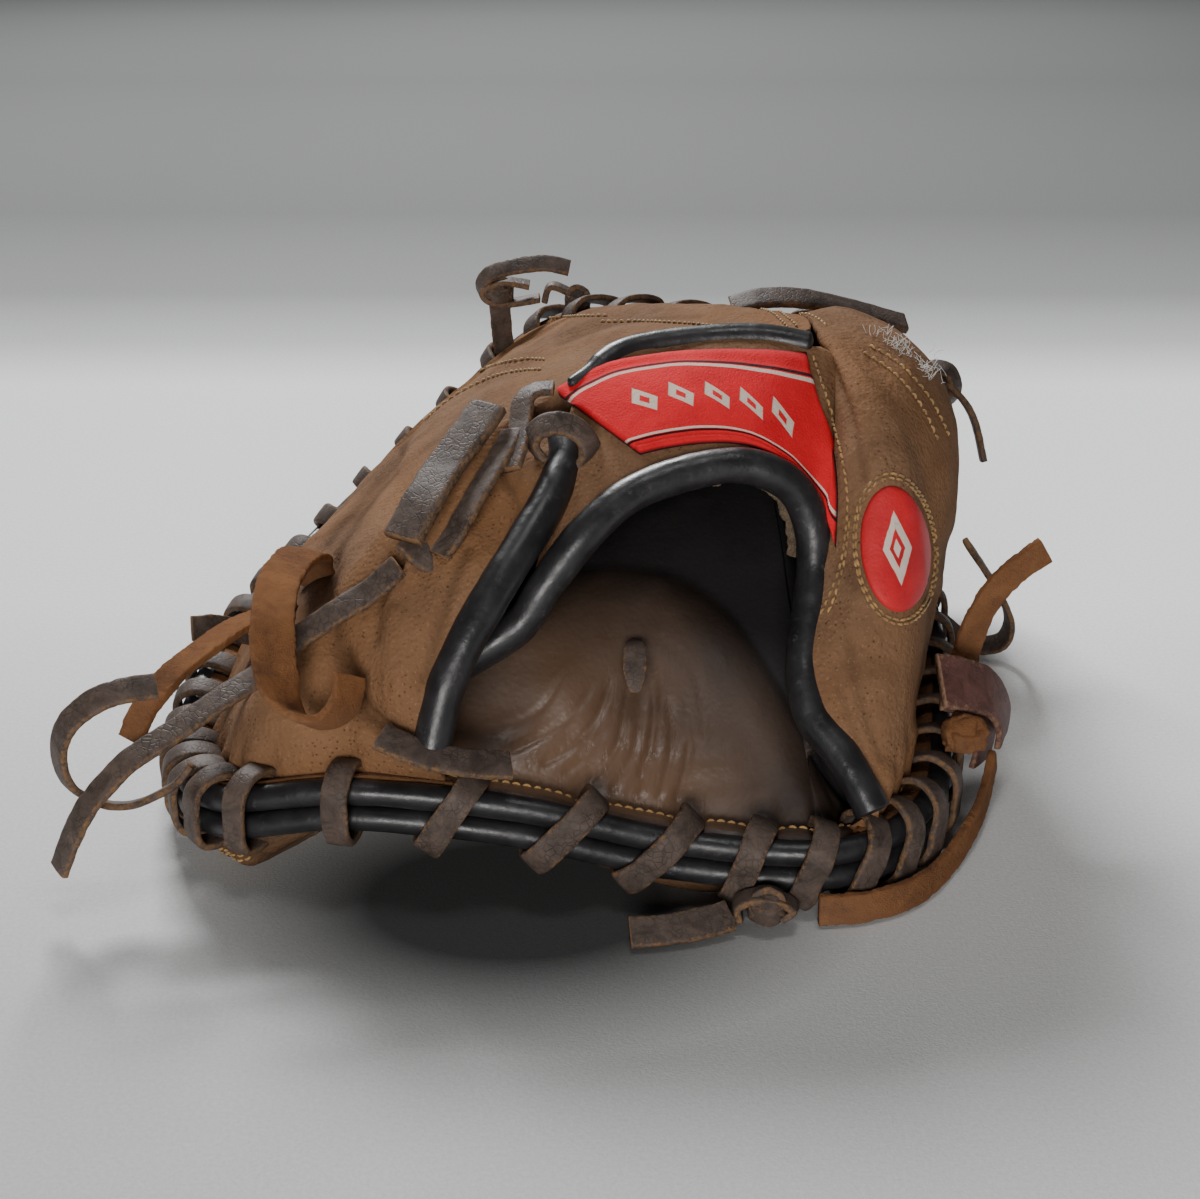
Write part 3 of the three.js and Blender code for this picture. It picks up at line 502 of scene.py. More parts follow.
class Shader:
    """A principled shader with short calls for the nodes that feed it."""

    def __init__(self, name, roughness=0.7, specular=0.4, sheen=0.0):
        self.material = bpy.data.materials.new(name)
        self.material.use_nodes = True
        self.tree = self.material.node_tree
        self.main = self.tree.nodes["Principled BSDF"]
        self.main.inputs["Roughness"].default_value = roughness
        self.main.inputs["Specular IOR Level"].default_value = specular
        self.main.inputs["Sheen Weight"].default_value = sheen
        self.main.inputs["Sheen Roughness"].default_value = 0.6
        self.place = self.tree.nodes.new("ShaderNodeTexCoord").outputs["Object"]

    def put(self, kind, out=0, inputs=(), **settings):
        node = self.tree.nodes.new(kind)
        for key, value in settings.items():
            setattr(node, key, value)
        for key, value in dict(inputs).items():
            self.feed(node.inputs[key], value)
        return node.outputs[out]

    def feed(self, socket, value):
        if isinstance(value, bpy.types.NodeSocket):
            self.tree.links.new(value, socket)
        elif value is not None:
            socket.default_value = value

    def noise(self, scale, detail=4, roughness=0.55, distortion=0.0, place=None):
        inputs = {"Vector": place or self.place, "Scale": scale, "Detail": detail, "Roughness": roughness}
        inputs["Distortion"] = distortion
        return self.put("ShaderNodeTexNoise", 0, inputs)

    def cells(self, scale, feature="F1", place=None):
        inputs = {"Vector": place or self.place, "Scale": scale}
        return self.put("ShaderNodeTexVoronoi", "Distance", inputs, feature=feature)

    def stretch(self, x, y, z):
        return self.put("ShaderNodeMapping", 0, {"Vector": self.place, "Scale": (x, y, z)})

    def ramp(self, value, stops):
        node = self.tree.nodes.new("ShaderNodeValToRGB")
        points = node.color_ramp.elements
        while len(points) < len(stops):
            points.new(0.5)
        for point, (place, colour) in zip(points, stops):
            point.position = place
            point.color = (*colour, 1)
        self.feed(node.inputs[0], value)
        return node.outputs[0]

    def span(self, value, low, high, first=0.0, last=1.0):
        inputs = {"Value": value, "From Min": low, "From Max": high, "To Min": first, "To Max": last}
        return self.put("ShaderNodeMapRange", 0, inputs)

    def math(self, operation, a, b=0.0):
        return self.put("ShaderNodeMath", 0, {0: a, 1: b}, operation=operation)

    def times(self, a, b):
        return self.math("MULTIPLY", a, b)

    def plus(self, a, b):
        return self.math("ADD", a, b)

    def layers(self, *pairs):
        """The sum of values, each times its weight."""
        total = 0.0
        for value, weight in pairs:
            total = self.plus(total, self.times(value, weight))
        return total

    def vector(self, operation, a, b=(0, 0, 0), out=0):
        return self.put("ShaderNodeVectorMath", out, {0: a, 1: b}, operation=operation)

    def parts(self, vector):
        """The sockets of a vector's x, y and z."""
        node = self.tree.nodes.new("ShaderNodeSeparateXYZ")
        self.feed(node.inputs[0], vector)
        return node.outputs

    def grey(self, value):
        return self.put("ShaderNodeCombineColor", 0, {0: value, 1: value, 2: value})

    def mix(self, share, a, b, mode="MIX"):
        node = self.tree.nodes.new("ShaderNodeMix")
        node.data_type = "RGBA"
        node.blend_type = mode
        for key, value in ((0, share), (6, a), (7, b)):
            self.feed(node.inputs[key], (*value, 1) if isinstance(value, tuple) else value)
        return node.outputs[2]

    def value(self, name):
        return self.put("ShaderNodeAttribute", "Fac", attribute_name=name)

    def finish(self, colour, height=None, strength=0.5, distance=0.0006, roughness=None):
        self.feed(self.main.inputs["Base Color"], colour)
        self.feed(self.main.inputs["Roughness"], roughness)
        if height is not None:
            inputs = {"Height": height, "Strength": strength, "Distance": distance}
            self.feed(self.main.inputs["Normal"], self.put("ShaderNodeBump", 0, inputs))
        return self.material


def leather(name, dark, middle, light, warm, roughness, grain, speck, pores):
    """Leather of the shell. speck and pores are how strongly its light and dark dots show."""
    s = Shader(name, specular=0.03)
    colour = s.ramp(s.noise(34, 6, 0.66, 0.5), [(0.3, dark), (0.5, middle), (0.72, light)])
    colour = s.mix(s.span(s.noise(11, 3, 0.5), 0.45, 0.75, 0, 0.6), colour, warm)
    colour = s.mix(s.value("wear"), colour, warm)
    fine = s.noise(1500, 2, 0.6)
    colour = s.mix(s.span(fine, 0.6, 0.8, 0, speck), colour, tuple(min(1, 2.6 * c + 0.03) for c in light))
    pore = s.span(s.cells(760), 0.06, 0.3, 1, 0)
    dots = s.times(pore, s.span(s.noise(120, 3), 0.42, 0.62))
    colour = s.mix(s.times(dots, pores), colour, tuple(0.35 * c for c in dark))
    # Darker along the rim, most where the laces draw the leather in, and painted shade in the back's inward
    # creases
    colour = s.mix(s.value("dirt"), colour, tuple(0.3 * c for c in dark))
    height = s.layers(
        (s.noise(420, 4, 0.6, 0.4), 0.9), (s.cells(900, "SMOOTH_F1"), 0.7), (dots, -0.5),
        (s.noise(130, 4, 0.6, 0.6), 0.7),
    )
    gloss = s.span(s.noise(60, 4), 0.35, 0.7, roughness - 0.08, roughness + 0.1)
    return s.finish(colour, height, grain, 0.0009, gloss)


def lining_leather():
    s = Shader("lining_leather", specular=0.6)
    colour = s.ramp(s.noise(30, 5, 0.6, 0.6), [
        (0.3, (0.042, 0.023, 0.015)), (0.5, (0.078, 0.045, 0.029)), (0.72, (0.135, 0.078, 0.049)),
    ])
    colour = s.mix(s.value("wear"), colour, (0.19, 0.107, 0.062))
    # Near black in the painted shade of the hollow, and darker along the rim
    colour = s.mix(s.value("dirt"), colour, (0.006, 0.004, 0.004))
    fine = s.noise(300, 5, 0.6, 1.5, s.stretch(1.0, 0.16, 0.35))
    fine = s.span(fine, 0.3, 0.62, 0, 2.6)
    height = s.layers(
        (s.math("MINIMUM", fine, 1.2), s.value("wrinkle")), (s.cells(800, "SMOOTH_F1"), 0.5),
        (s.noise(520, 4, 0.6), 0.5),
    )
    gloss = s.span(s.noise(80, 5, 0.65), 0.35, 0.7, 0.3, 0.5)
    gloss = s.plus(gloss, s.times(s.value("dirt"), 0.4))
    return s.finish(colour, height, 0.24, 0.0006, gloss)


def roll_leather():
    s = Shader("roll_leather", specular=0.5)
    patches = s.span(s.noise(55, 3), 0.46, 0.66)
    scuff = s.times(s.span(s.noise(420, 5, 0.75, 0.5), 0.58, 0.75), patches)
    colour = s.ramp(s.noise(140, 4), [(0.3, (0.011, 0.01, 0.011)), (0.7, (0.028, 0.026, 0.028))])
    colour = s.mix(s.times(scuff, 0.7), colour, (0.17, 0.16, 0.155))
    height = s.plus(s.noise(500, 4, 0.6), s.times(s.noise(110, 3), 0.8))
    gloss = s.span(s.noise(160, 4), 0.35, 0.7, 0.3, 0.5)
    return s.finish(colour, height, 0.22, 0.0006, gloss)


def lace_leather(name, dark, light, raw, roughness):
    s = Shader(name, specular=0.2)
    colour = s.ramp(s.noise(150, 6, 0.7, 0.8), [(0.3, dark), (0.7, light)])
    spread = s.vector("MULTIPLY_ADD", s.place, (0.5, 0.5, 0.5))
    crack = s.span(s.cells(1150, "DISTANCE_TO_EDGE", spread), 0.02, 0.12, 1, 0)
    crack = s.times(crack, s.span(s.noise(90, 4, 0.7), 0.42, 0.62))
    colour = s.mix(s.times(crack, 0.45), colour, tuple(0.5 * c for c in dark))
    fuzz = s.plus(s.value("edge"), s.span(s.noise(700, 4, 0.7), 0.3, 0.7, -0.3, 0.3))
    colour = s.mix(s.span(fuzz, 0.72, 1.0, 0, 0.85), colour, raw)
    height = s.layers((s.noise(1500, 5, 0.7), 0.5), (crack, -0.5), (s.noise(160, 3, 0.5), 0.35))
    height = s.plus(height, s.span(fuzz, 0.75, 1.0, 0, s.times(s.noise(2200, 3, 0.8), 1.5)))
    return s.finish(colour, height, 0.4, 0.0005, s.span(fuzz, 0.7, 1.0, roughness, 0.95))


def suede_leather(name, dark, middle, light):
    s = Shader(name, roughness=0.95, specular=0.05, sheen=0.12)
    nap = s.noise(520, 7, 0.78, 0.3)
    colour = s.ramp(s.noise(90, 6, 0.7, 0.4), [(0.3, dark), (0.52, middle), (0.75, light)])
    colour = s.mix(s.span(nap, 0.35, 0.7, 0, 0.5), colour, light)
    height = s.plus(nap, s.times(s.noise(2300, 3, 0.7), 0.6))
    return s.finish(colour, height, 1.0, 0.0016)


def thread():
    s = Shader("thread", roughness=0.6, specular=0.35, sheen=0.2)
    colour = s.ramp(s.noise(260, 3), [(0.3, (0.2, 0.105, 0.03)), (0.7, (0.5, 0.29, 0.09))])
    return s.finish(colour, s.noise(2600, 2), 0.4, 0.0003)


def plain_cloth(name, colour):
    s = Shader(name, roughness=0.95, specular=0.15)
    base = s.mix(s.span(s.noise(300, 4), 0.3, 0.7), tuple(0.6 * c for c in colour), colour)
    return s.finish(base, s.noise(1400, 3), 0.5, 0.0006)


def label_cloth():
    """Red woven cloth: cream border lines and a row of cream lozenges, by the place on the label."""
    s = Shader("label_cloth", roughness=0.8, specular=0.15)
    along, across, _ = s.parts(s.put("ShaderNodeUVMap", 0, uv_map="UVMap"))
    red = s.ramp(s.noise(60, 5, 0.6), [(0.3, (0.62, 0.012, 0.02)), (0.7, (0.84, 0.024, 0.032))])
    cream = (0.72, 0.6, 0.5)
    dark = (0.03, 0.008, 0.01)
    edge = s.math("MINIMUM", across, s.math("SUBTRACT", 1.0, across))

    def band(value, centre, half):
        off = s.math("ABSOLUTE", s.math("SUBTRACT", value, centre))
        return s.span(off, half * 0.8, half, 1, 0)

    shade = s.mix(band(edge, 0.135, 0.011), red, dark)
    shade = s.mix(band(edge, 0.165, 0.014), shade, cream)
    step = s.math("ABSOLUTE", s.math("SUBTRACT", s.math("FRACT", s.times(along, 7.0)), 0.5))
    tall = s.times(s.math("ABSOLUTE", s.math("SUBTRACT", across, 0.47)), 2.6)
    lozenge = s.span(s.plus(step, tall), 0.34, 0.37, 1, 0)
    heart = s.span(s.plus(step, tall), 0.12, 0.15, 0, 1)
    inside = s.times(s.span(along, 0.12, 0.14), s.span(along, 0.84, 0.86, 1, 0))
    mark = s.times(s.times(lozenge, heart), inside)
    shade = s.mix(mark, shade, cream)
    shade = s.mix(s.value("edge"), shade, dark)
    shade = s.mix(s.span(s.noise(500, 4, 0.7), 0.62, 0.8, 0, 0.5), shade, (0.12, 0.02, 0.02))
    weave = s.plus(s.noise(1800, 2), s.times(mark, 0.6))
    return s.finish(shade, weave, 0.5, 0.0005)


def patch_leather():
    """Red leather: a hollow cream lozenge round a small one, by the place on the patch."""
    s = Shader("patch_leather", roughness=0.6, specular=0.35)
    along, across, _ = s.parts(s.put("ShaderNodeUVMap", 0, uv_map="UVMap"))
    red = s.ramp(s.noise(70, 5, 0.6), [(0.3, (0.46, 0.012, 0.018)), (0.7, (0.66, 0.022, 0.028))])
    cream = (0.7, 0.58, 0.5)
    size = s.plus(s.times(s.math("ABSOLUTE", along), 1.5), s.math("ABSOLUTE", across))
    lozenge = s.times(s.span(size, 0.58, 0.61, 1, 0), s.span(size, 0.3, 0.33))
    heart = s.span(size, 0.14, 0.17, 1, 0)
    shade = s.mix(s.math("MAXIMUM", lozenge, heart), red, cream)
    shade = s.mix(s.span(s.noise(420, 4, 0.7), 0.62, 0.8, 0, 0.5), shade, (0.1, 0.012, 0.015))
    return s.finish(shade, s.noise(1300, 3), 0.35, 0.0005)


# Grey of the floor by its distance to the back, in metres, as painted light and shade
FLOOR_NEAR = -0.3
FLOOR_FAR = 1.5
FLOOR_SHADES = [
    (-0.3, 0.6), (-0.17, 0.58), (-0.05, 0.72), (0.08, 0.88), (0.165, 0.84), (0.3, 0.76), (0.36, 0.42),
    (0.44, 0.22), (0.6, 0.135), (1.0, 0.135), (1.3, 0.19),
]
# A painted shadow darkens the floor under the front of the mitt: middle and reach of that shadow in metres,
# the part of the reach where it is darkest, and how much light it leaves there
SHADE_MIDDLE = (-0.022, -0.1, 0.0)
SHADE_REACH = (0.088, 0.064, 1.0)
SHADE_CORE = 0.4
SHADE_LEFT = 0.1
# Painted light, brighter to the right: left and right place in metres, and the share of the grey there
SIDE_SHADES = (-0.25, 0.4, 0.88, 1.25)


def floor_material():
    s = Shader("floor", roughness=0.85, specular=0.2)
    side, depth, _ = s.parts(s.place)
    shade = s.ramp(s.span(depth, FLOOR_NEAR, FLOOR_FAR), [
        ((y - FLOOR_NEAR) / (FLOOR_FAR - FLOOR_NEAR), (grey, grey * 1.003, grey))
        for y, grey in FLOOR_SHADES
    ])
    # Painted shadow under the front of the mitt, times painted light rising to the right
    deep = s.vector("DIVIDE", s.vector("SUBTRACT", s.place, SHADE_MIDDLE), SHADE_REACH)
    deep = s.span(s.vector("LENGTH", deep, out=1), SHADE_CORE, 1.0, SHADE_LEFT, 1.0)
    deep = s.times(deep, s.span(side, *SIDE_SHADES))
    shade = s.mix(1.0, shade, s.grey(deep), "MULTIPLY")
    flecks = s.span(s.noise(900, 4, 0.75), 0.3, 0.7, 0.9, 1.08)
    shade = s.mix(1.0, shade, s.grey(flecks), "MULTIPLY")
    return s.finish(shade, s.noise(1400, 3), 0.25, 0.0006)


BACK = leather(
    "back_leather", (0.09, 0.05, 0.031), (0.18, 0.103, 0.061), (0.235, 0.14, 0.084), (0.25, 0.122, 0.055),
    roughness=0.8, grain=0.5, speck=0.3, pores=0.7,
)
PALM = leather(
    "palm_leather", (0.042, 0.025, 0.017), (0.09, 0.054, 0.036), (0.16, 0.1, 0.065), (0.17, 0.09, 0.045),
    roughness=0.7, grain=0.4, speck=0.2, pores=0.4,
)
LINING = lining_leather()
ROLL = roll_leather()
LACE = lace_leather("lace", (0.042, 0.03, 0.025), (0.135, 0.098, 0.08), (0.23, 0.125, 0.058), 0.55)
TAB = lace_leather("tab", (0.07, 0.03, 0.026), (0.17, 0.08, 0.066), (0.3, 0.18, 0.11), 0.55)
SUEDE = suede_leather("suede", (0.13, 0.044, 0.01), (0.28, 0.102, 0.026), (0.4, 0.17, 0.052))
THREAD = thread()
CLOTH = plain_cloth("inner_cloth", (0.022, 0.021, 0.021))
RAW_EDGE = suede_leather("raw_edge", (0.1, 0.065, 0.036), (0.21, 0.14, 0.08), (0.34, 0.25, 0.155))
LINT = plain_cloth("lint", (0.75, 0.74, 0.7))
LABEL = label_cloth()
PATCH = patch_leather()
FLOOR = floor_material()


# Where the laces cross the rim: place on the rim at their upper and at their lower end

HEEL_PASSES = [
    (-3.72, -3.85), (-3.38, -3.52), (-3.02, -3.18), (-2.61, -2.8), (-2.02, -2.06), (-1.26, -1.5),
    (-0.57, -0.86), (0.03, -0.31), (0.47, 0.31), (0.9, 0.68), (1.33, 1.04), (1.66, 1.42), (2.0, 1.78),
]


def even_passes(first, last, count, slant):
    return [(u, u - slant) for u in np.linspace(first, last, count)]


THUMB_PASSES = even_passes(2.4, 6.8, 12, 0.12)
FINGER_PASSES = even_passes(11.35, 16.0, 13, 0.12)
WEB_THUMB_PASSES = even_passes(7.2, 8.4, 4, 0.1)
WEB_FINGER_PASSES = even_passes(9.6, 10.9, 4, 0.1)
ALL_PASSES = HEEL_PASSES + THUMB_PASSES + FINGER_PASSES + WEB_THUMB_PASSES + WEB_FINGER_PASSES


def pull(u, top):
    """1 where a lace draws the leather in and 0 half way to the next."""
    u = np.asarray(u, float)
    total = np.zeros(u.shape)
    count = len(RIM)
    for upper, lower in ALL_PASSES:
        off = (u - (upper if top else lower) + count / 2) % count - count / 2
        total = np.maximum(total, bell(off, 0.09))
    return total


# The padded palm and its lining

def pad_grid(table, us, rings, under):
    rows = through(table, rings - 1)
    inward, toward = rows[:, 0], rows[:, 1]
    start = from_rim(us[:, None], -inward[None], 0)
    rim_z = curve(RIM, us, True)[:, 2:3]
    if under:
        low = rim_z - curve(RIM, us, True)[:, 3:4] * rows[:, 2][None]
        z = low + (POLE_POCKET - low) * rows[:, 3][None]
    else:
        z = rim_z + (POLE_LINING - rim_z) * rows[:, 2][None] + rows[:, 3][None]
    x = start[..., 0] + (POLE[0] - start[..., 0]) * toward
    y = start[..., 1] + (POLE[1] - start[..., 1]) * toward
    return np.stack([x, y, z], -1)


PAD_STEPS = 420
PAD_RINGS = 46
# Between these places on the rim, the outer rings of the pad's upper side are leather and not cloth
WEB_FROM = 6.4
WEB_TO = 11.4
OPEN_RINGS = 18
# How far the pad's edge swells between laces, and how far its upper side stays under the lining
PAD_BULGE = 1.6
PAD_CLEAR = 1.8


def make_pad():
    us = np.arange(PAD_STEPS) * len(RIM) / PAD_STEPS
    under = pad_grid(PAD_UNDER, us, PAD_RINGS, True)
    over = pad_grid(PAD_OVER, us, PAD_RINGS, False)
    over[..., 2] -= (DARK_DROP + 1.5) * darkness(over)
    over[..., 2] -= PAD_CLEAR * clamp(np.arange(PAD_RINGS) / 6 - 1)
    normals = normals_toward(under, (0, 10), (0, 0, -1))
    ring = np.linspace(0, len(PAD_UNDER) - 1, PAD_RINGS)
    near = bell(ring - 2.6, 1.3)[None]
    drawn = pull(us, False)[:, None]
    bulge = PAD_BULGE * near * (0.55 - drawn)
    lumps = 0.5 * rough(under, 22, 3, 3) + 0.25 * rough(under, 7, 5, 2) * near
    under = moved(under, normals, bulge + lumps * (ring > 0.5))
    under[..., 2] = np.maximum(under[..., 2], 0.05)
    points = np.concatenate([under.reshape(-1, 3), over.reshape(-1, 3)])
    half = PAD_STEPS * PAD_RINGS
    faces = np.concatenate([
        grid_faces(PAD_STEPS, PAD_RINGS, wrap=True),
        grid_faces(PAD_STEPS, PAD_RINGS, half, wrap=True, flip=True),
    ]).tolist()
    for k in range(PAD_STEPS):
        n = (k + 1) % PAD_STEPS
        faces.append([k * PAD_RINGS, half + k * PAD_RINGS, half + n * PAD_RINGS, n * PAD_RINGS])
    body = (PAD_RINGS - 1) * PAD_STEPS
    inside = np.ones((PAD_STEPS, PAD_RINGS - 1), int)
    inside[(us > WEB_FROM) & (us < WEB_TO), :OPEN_RINGS] = 0
    kinds = [0] * body + inside.ravel().tolist() + [0] * PAD_STEPS
    wear = clamp(0.75 * near + 0.25 * rough(under, 30, 9, 2), 0.85)
    # Darker along the rim, most where the laces draw the leather in
    dirt = clamp(0.85 * bell(ring, 0.9)[None] * (0.4 + 0.6 * drawn), 0.8)
    zero = np.zeros(half)
    pad = build(
        "pad_cover", points, faces, [PALM, CLOTH], "palm_leather", ["palm_pad"], kinds=kinds,
        wear=np.concatenate([wear.ravel(), zero]), dirt=np.concatenate([dirt.ravel(), zero]),
    )
    keep_surface("pad", points, faces)


# Where the lining's fine wrinkles are, in the photograph's pixels
WRINKLE_MIDDLE = (640, 745)
WRINKLE_REACH = 75
# depth mm, width px and the photograph's points of each larger wrinkle
LINING_CREASES = [
    (0.9, 3.2, [(645, 655), (655, 690), (652, 735), (640, 775)]),
    (0.8, 3.0, [(628, 690), (622, 725), (612, 755), (590, 780)]),
    (0.8, 3.0, [(610, 685), (598, 715), (575, 745), (545, 762)]),
    (0.6, 2.8, [(590, 690), (572, 715), (545, 735), (515, 748)]),
    (0.6, 2.8, [(668, 700), (672, 735), (668, 765), (660, 795)]),
    (0.6, 2.8, [(640, 720), (634, 750), (622, 775), (612, 790)]),
    (0.5, 2.6, [(660, 640), (690, 665), (702, 700), (705, 740)]),
    (0.5, 2.6, [(560, 680), (545, 705), (520, 722), (490, 730)]),
    (0.7, 2.8, [(690, 745), (684, 775), (676, 798)]),
    (0.5, 2.4, [(655, 745), (648, 772), (640, 795)]),
    (0.5, 2.4, [(600, 735), (585, 757), (566, 772)]),
    (0.4, 2.4, [(540, 735), (520, 748), (500, 752)]),
    (-1.6, 26, [(560, 690), (600, 740), (660, 765), (720, 760)]),
    (1.3, 18, [(640, 665), (642, 690)]),
]
# Photograph's points of the line past which the lining falls away into the hollow and is painted dark as its
# shade
DARK_EDGE = [
    (470, 640), (510, 604), (560, 585), (620, 578), (672, 588), (712, 618), (742, 662), (770, 712),
    (798, 757), (828, 797), (866, 836),
]
# How deep it falls in millimetres, and over how many pixels it and its painted shade set in
DARK_DROP = 5.5
DARK_FADE = 24
SHADED_FADE = 130
LINING_THICK = 1.8
# Where the lining starts and ends on the rim
LINING_FIRST = -3.1
LINING_LAST = 3.3


def darkness(points, fade=DARK_FADE):
    """0 in the light of the opening, rising to 1 past the dark edge."""
    spots = to_pixel(points)
    line = pixel_line(DARK_EDGE, 60)
    far = line_distance(spots, line)
    flat = spots.reshape(-1, 2)
    nearby = np.linalg.norm(flat[:, None] - line[None], axis=-1).argmin(1)
    run = np.gradient(line, axis=0)[nearby]
    off = flat - line[nearby]
    beyond = (run[:, 0] * off[:, 1] - run[:, 1] * off[:, 0]).reshape(far.shape) < 0
    return clamp(0.5 + 0.5 * np.where(beyond, far, -far) / fade)


def make_lining():
    steps, rings = 330, 110
    us = np.linspace(LINING_FIRST, LINING_LAST, steps)
    grid = pad_grid(LINING_OVER, us, rings, False)
    normals = normals_toward(grid, (steps // 2, rings // 2))
    ring = np.linspace(0, len(LINING_OVER) - 1, rings)
    near = bell(ring - 2.2, 1.1)[None]
    drawn = pull(us, True)[:, None]
    grain = 0.4 * rough(grid, 20, 21, 2) + 0.08 * rough(grid * [1, 0.5, 0.5], 4.5, 23, 2)
    move = near * (0.9 - 2.1 * drawn) + grain
    grid = moved(grid, normals, move * clamp(ring - 0.4))
    grid = press(grid, normals, LINING_CREASES)
    dark = darkness(grid)
    grid = moved(grid, normals, -DARK_DROP * dark**2)
    wear = clamp(0.35 + 0.5 * rough(grid, 34, 27, 2) + 0.3 * clamp(us / 2)[:, None], 0.8)
    # Darker along the rim, most where the laces draw the leather in
    dirt = clamp(0.9 * bell(ring, 1.1)[None] * (0.35 + 0.65 * drawn), 0.9)
    # Painted shade of the hollow: near black past the dark edge, fading in over a broad band above it
    dirt = np.maximum(np.maximum(dirt, dark), clamp(1.35 * darkness(grid, SHADED_FADE), 0.9))
    wrinkle = bell(np.linalg.norm(to_pixel(grid) - WRINKLE_MIDDLE, axis=-1), WRINKLE_REACH)
    sheet(
        "palm_lining_cover", grid, normals, 0, LINING_THICK, LINING, "lining_leather", ["palm_lining"],
        keep="lining", wear=wear, dirt=dirt, wrinkle=wrinkle,
    )


# The two halves of the back

def keep_clear(points, path, reach):
    """Moves points that lie too near a path straight away from it."""
    flat = points.reshape(-1, 3)
    for start in range(0, len(flat), 4000):
        part = flat[start:start + 4000]
        far = np.linalg.norm(part[:, None] - path[None], axis=-1)
        k = far.argmin(1)
        off = part - path[k]
        size = far[np.arange(len(part)), k]
        close = size < reach
        part[close] = path[k][close] + unit(off[close]) * reach


# How far the foot of the back is over the rim line
FOOT_UP = 2.1


def fold_grid(table, side, finer, steps):
    rows = through(table, (len(table) - 1) * finer)
    foot = from_rim(rows[:, 0], -EDGE_IN - SHELL_THICK / 2, FOOT_UP)
    head = rows[:, 1:4] + np.array([side * 0.15, 0, 0])
    away = foot - head
    away[:, 2] = 0
    away = unit(away)
    angle = np.linspace(0, np.pi / 2, steps + 1)[None]
    full = rows[:, 4:5]
    near = np.cos(angle) ** (2 / full)
    high = np.sin(angle) ** (2 / full)
    grid = head[:, None] + (foot - head)[:, None] * near[..., None]
    grid[..., 2] = foot[:, 2:3] + (head[:, 2:3] - foot[:, 2:3]) * high
    grid += away[:, None] * (rows[:, 5:6] * np.sin(2 * angle))[..., None]
    return grid, rows[:, 0]


def fit_edge(grid, edge, finer):
    half_rows = np.arange(len(grid)) * 2 / finer
    share = np.interp(half_rows, range(len(EDGE_REACH)), EDGE_REACH)
    off = edge - grid[0]
    return grid + off[None] * share[:, None, None]


def smooth_grid(grid, times, cols=slice(None)):
    for _ in range(times):
        blur = grid.copy()
        blur[1:-1, 1:-1] = (grid[:-2, 1:-1] + grid[2:, 1:-1] + grid[1:-1, :-2] + grid[1:-1, 2:]) / 4
        grid[:, cols] = blur[:, cols]
    return grid


# In from the rim and up from it
FLANGE = [(2.0, 5.2), (4.2, 5.4), (6.4, 4.6)]


def with_flange(grid, us):
    """Adds the leather's last stretch, which is sewn into the upper rim roll."""
    edge = [from_rim(us, -inward, up) for inward, up in FLANGE]
    return np.concatenate([np.stack(edge, 1), grid], axis=1)


def make_back(name, node, table, side, edge, creases, finer, seed):
    """Builds one half of the back, and returns its grid and normals."""
    grid, us = fold_grid(table, side, finer, BACK_STEPS)
    edge = spaced(np.concatenate([grid[:1, 0], edge]), BACK_STEPS)
    edge[0] = grid[0, 0]
    grid = fit_edge(grid, edge, finer)
    top = np.concatenate([[STRAP_ROLL_END], through(STRAP_ROWS[STRAP_ROLL_ROWS, :3], 120)])
    keep_clear(grid, top, STRAP_ROLL + CLOTH_HALF)
    grid = with_flange(grid, us)
    grid = smooth_grid(grid, 3, cols=slice(1, 9))
    rows, cols = grid.shape[:2]
    middle = (rows // 2, cols // 2)
    normals = normals_toward(grid, middle, grid[middle] - HOLLOW_MIDDLE)
    low = np.linspace(0, 1, cols)[None]
    near = bell(low - 0.07, 0.06)
    drawn = pull(us, True)[:, None]
    fade = clamp(low * 30 - 0.6)
    move = near * (0.8 - 2.0 * drawn) + 0.9 * rough(grid, 30, seed, 2) + 0.3 * rough(grid, 8, seed + 5, 3)
    grid = moved(grid, normals, move * fade)
    # Painted shade in the inward creases
    crease_painted_shade = crease_shade(grid, creases)
    grid = press(grid, normals, creases)
    wear = clamp(0.25 + 0.7 * bell(low, 0.1) + 0.5 * rough(grid, 40, seed + 9, 2), 0.85)
    # Darker along the rim, most where the laces draw the leather in, plus the creases' painted shade
    dirt = clamp(0.8 * bell(low, 0.03) * (0.35 + 0.65 * drawn) + crease_painted_shade, 0.9)
    half = SHELL_THICK / 2
    sheet(
        name, grid, normals, half, half, [BACK, CLOTH], "back_leather", [node], keep=name,
        kinds=inner_kinds(rows, cols, slice(0, 6 * finer), slice(cols * 2 // 3, None)),
        wear=wear, dirt=dirt,
    )
    return grid, normals


FINGER_CREASES = [
    (1.2, 5, [(560, 470), (535, 520), (505, 570), (480, 610)]),
    (0.8, 4, [(575, 440), (560, 480), (545, 520)]),
    (0.7, 3.5, [(590, 430), (580, 465), (570, 490)]),
    (2.2, 10, [(330, 560), (335, 620), (350, 680), (385, 725), (415, 738)]),
    (-2.4, 26, [(470, 560), (440, 620), (415, 680)]),
    (1.3, 7, [(400, 560), (385, 600), (380, 640)]),
    (0.9, 4, [(430, 500), (410, 540), (400, 575)]),
    (1.5, 7, [(400, 455), (360, 500), (325, 545)]),
    (1.6, 7, [(505, 350), (470, 380), (425, 415), (400, 450)]),
    (-1.5, 10, [(520, 362), (480, 392), (440, 420)]),
    (1.8, 9, [(395, 470), (370, 500), (330, 560), (300, 590)]),
    (1.4, 8, [(470, 555), (455, 590), (440, 640), (430, 680)]),
    (1.6, 9, [(345, 650), (350, 690), (370, 720), (400, 735)]),
    (-1.8, 18, [(400, 620), (395, 670), (405, 705)]),
    (1.2, 6, [(500, 470), (520, 510), (515, 545)]),
    (1.0, 6, [(290, 640), (300, 690), (320, 725)]),
    (1.0, 5, [(560, 345), (620, 325), (700, 318)]),
]
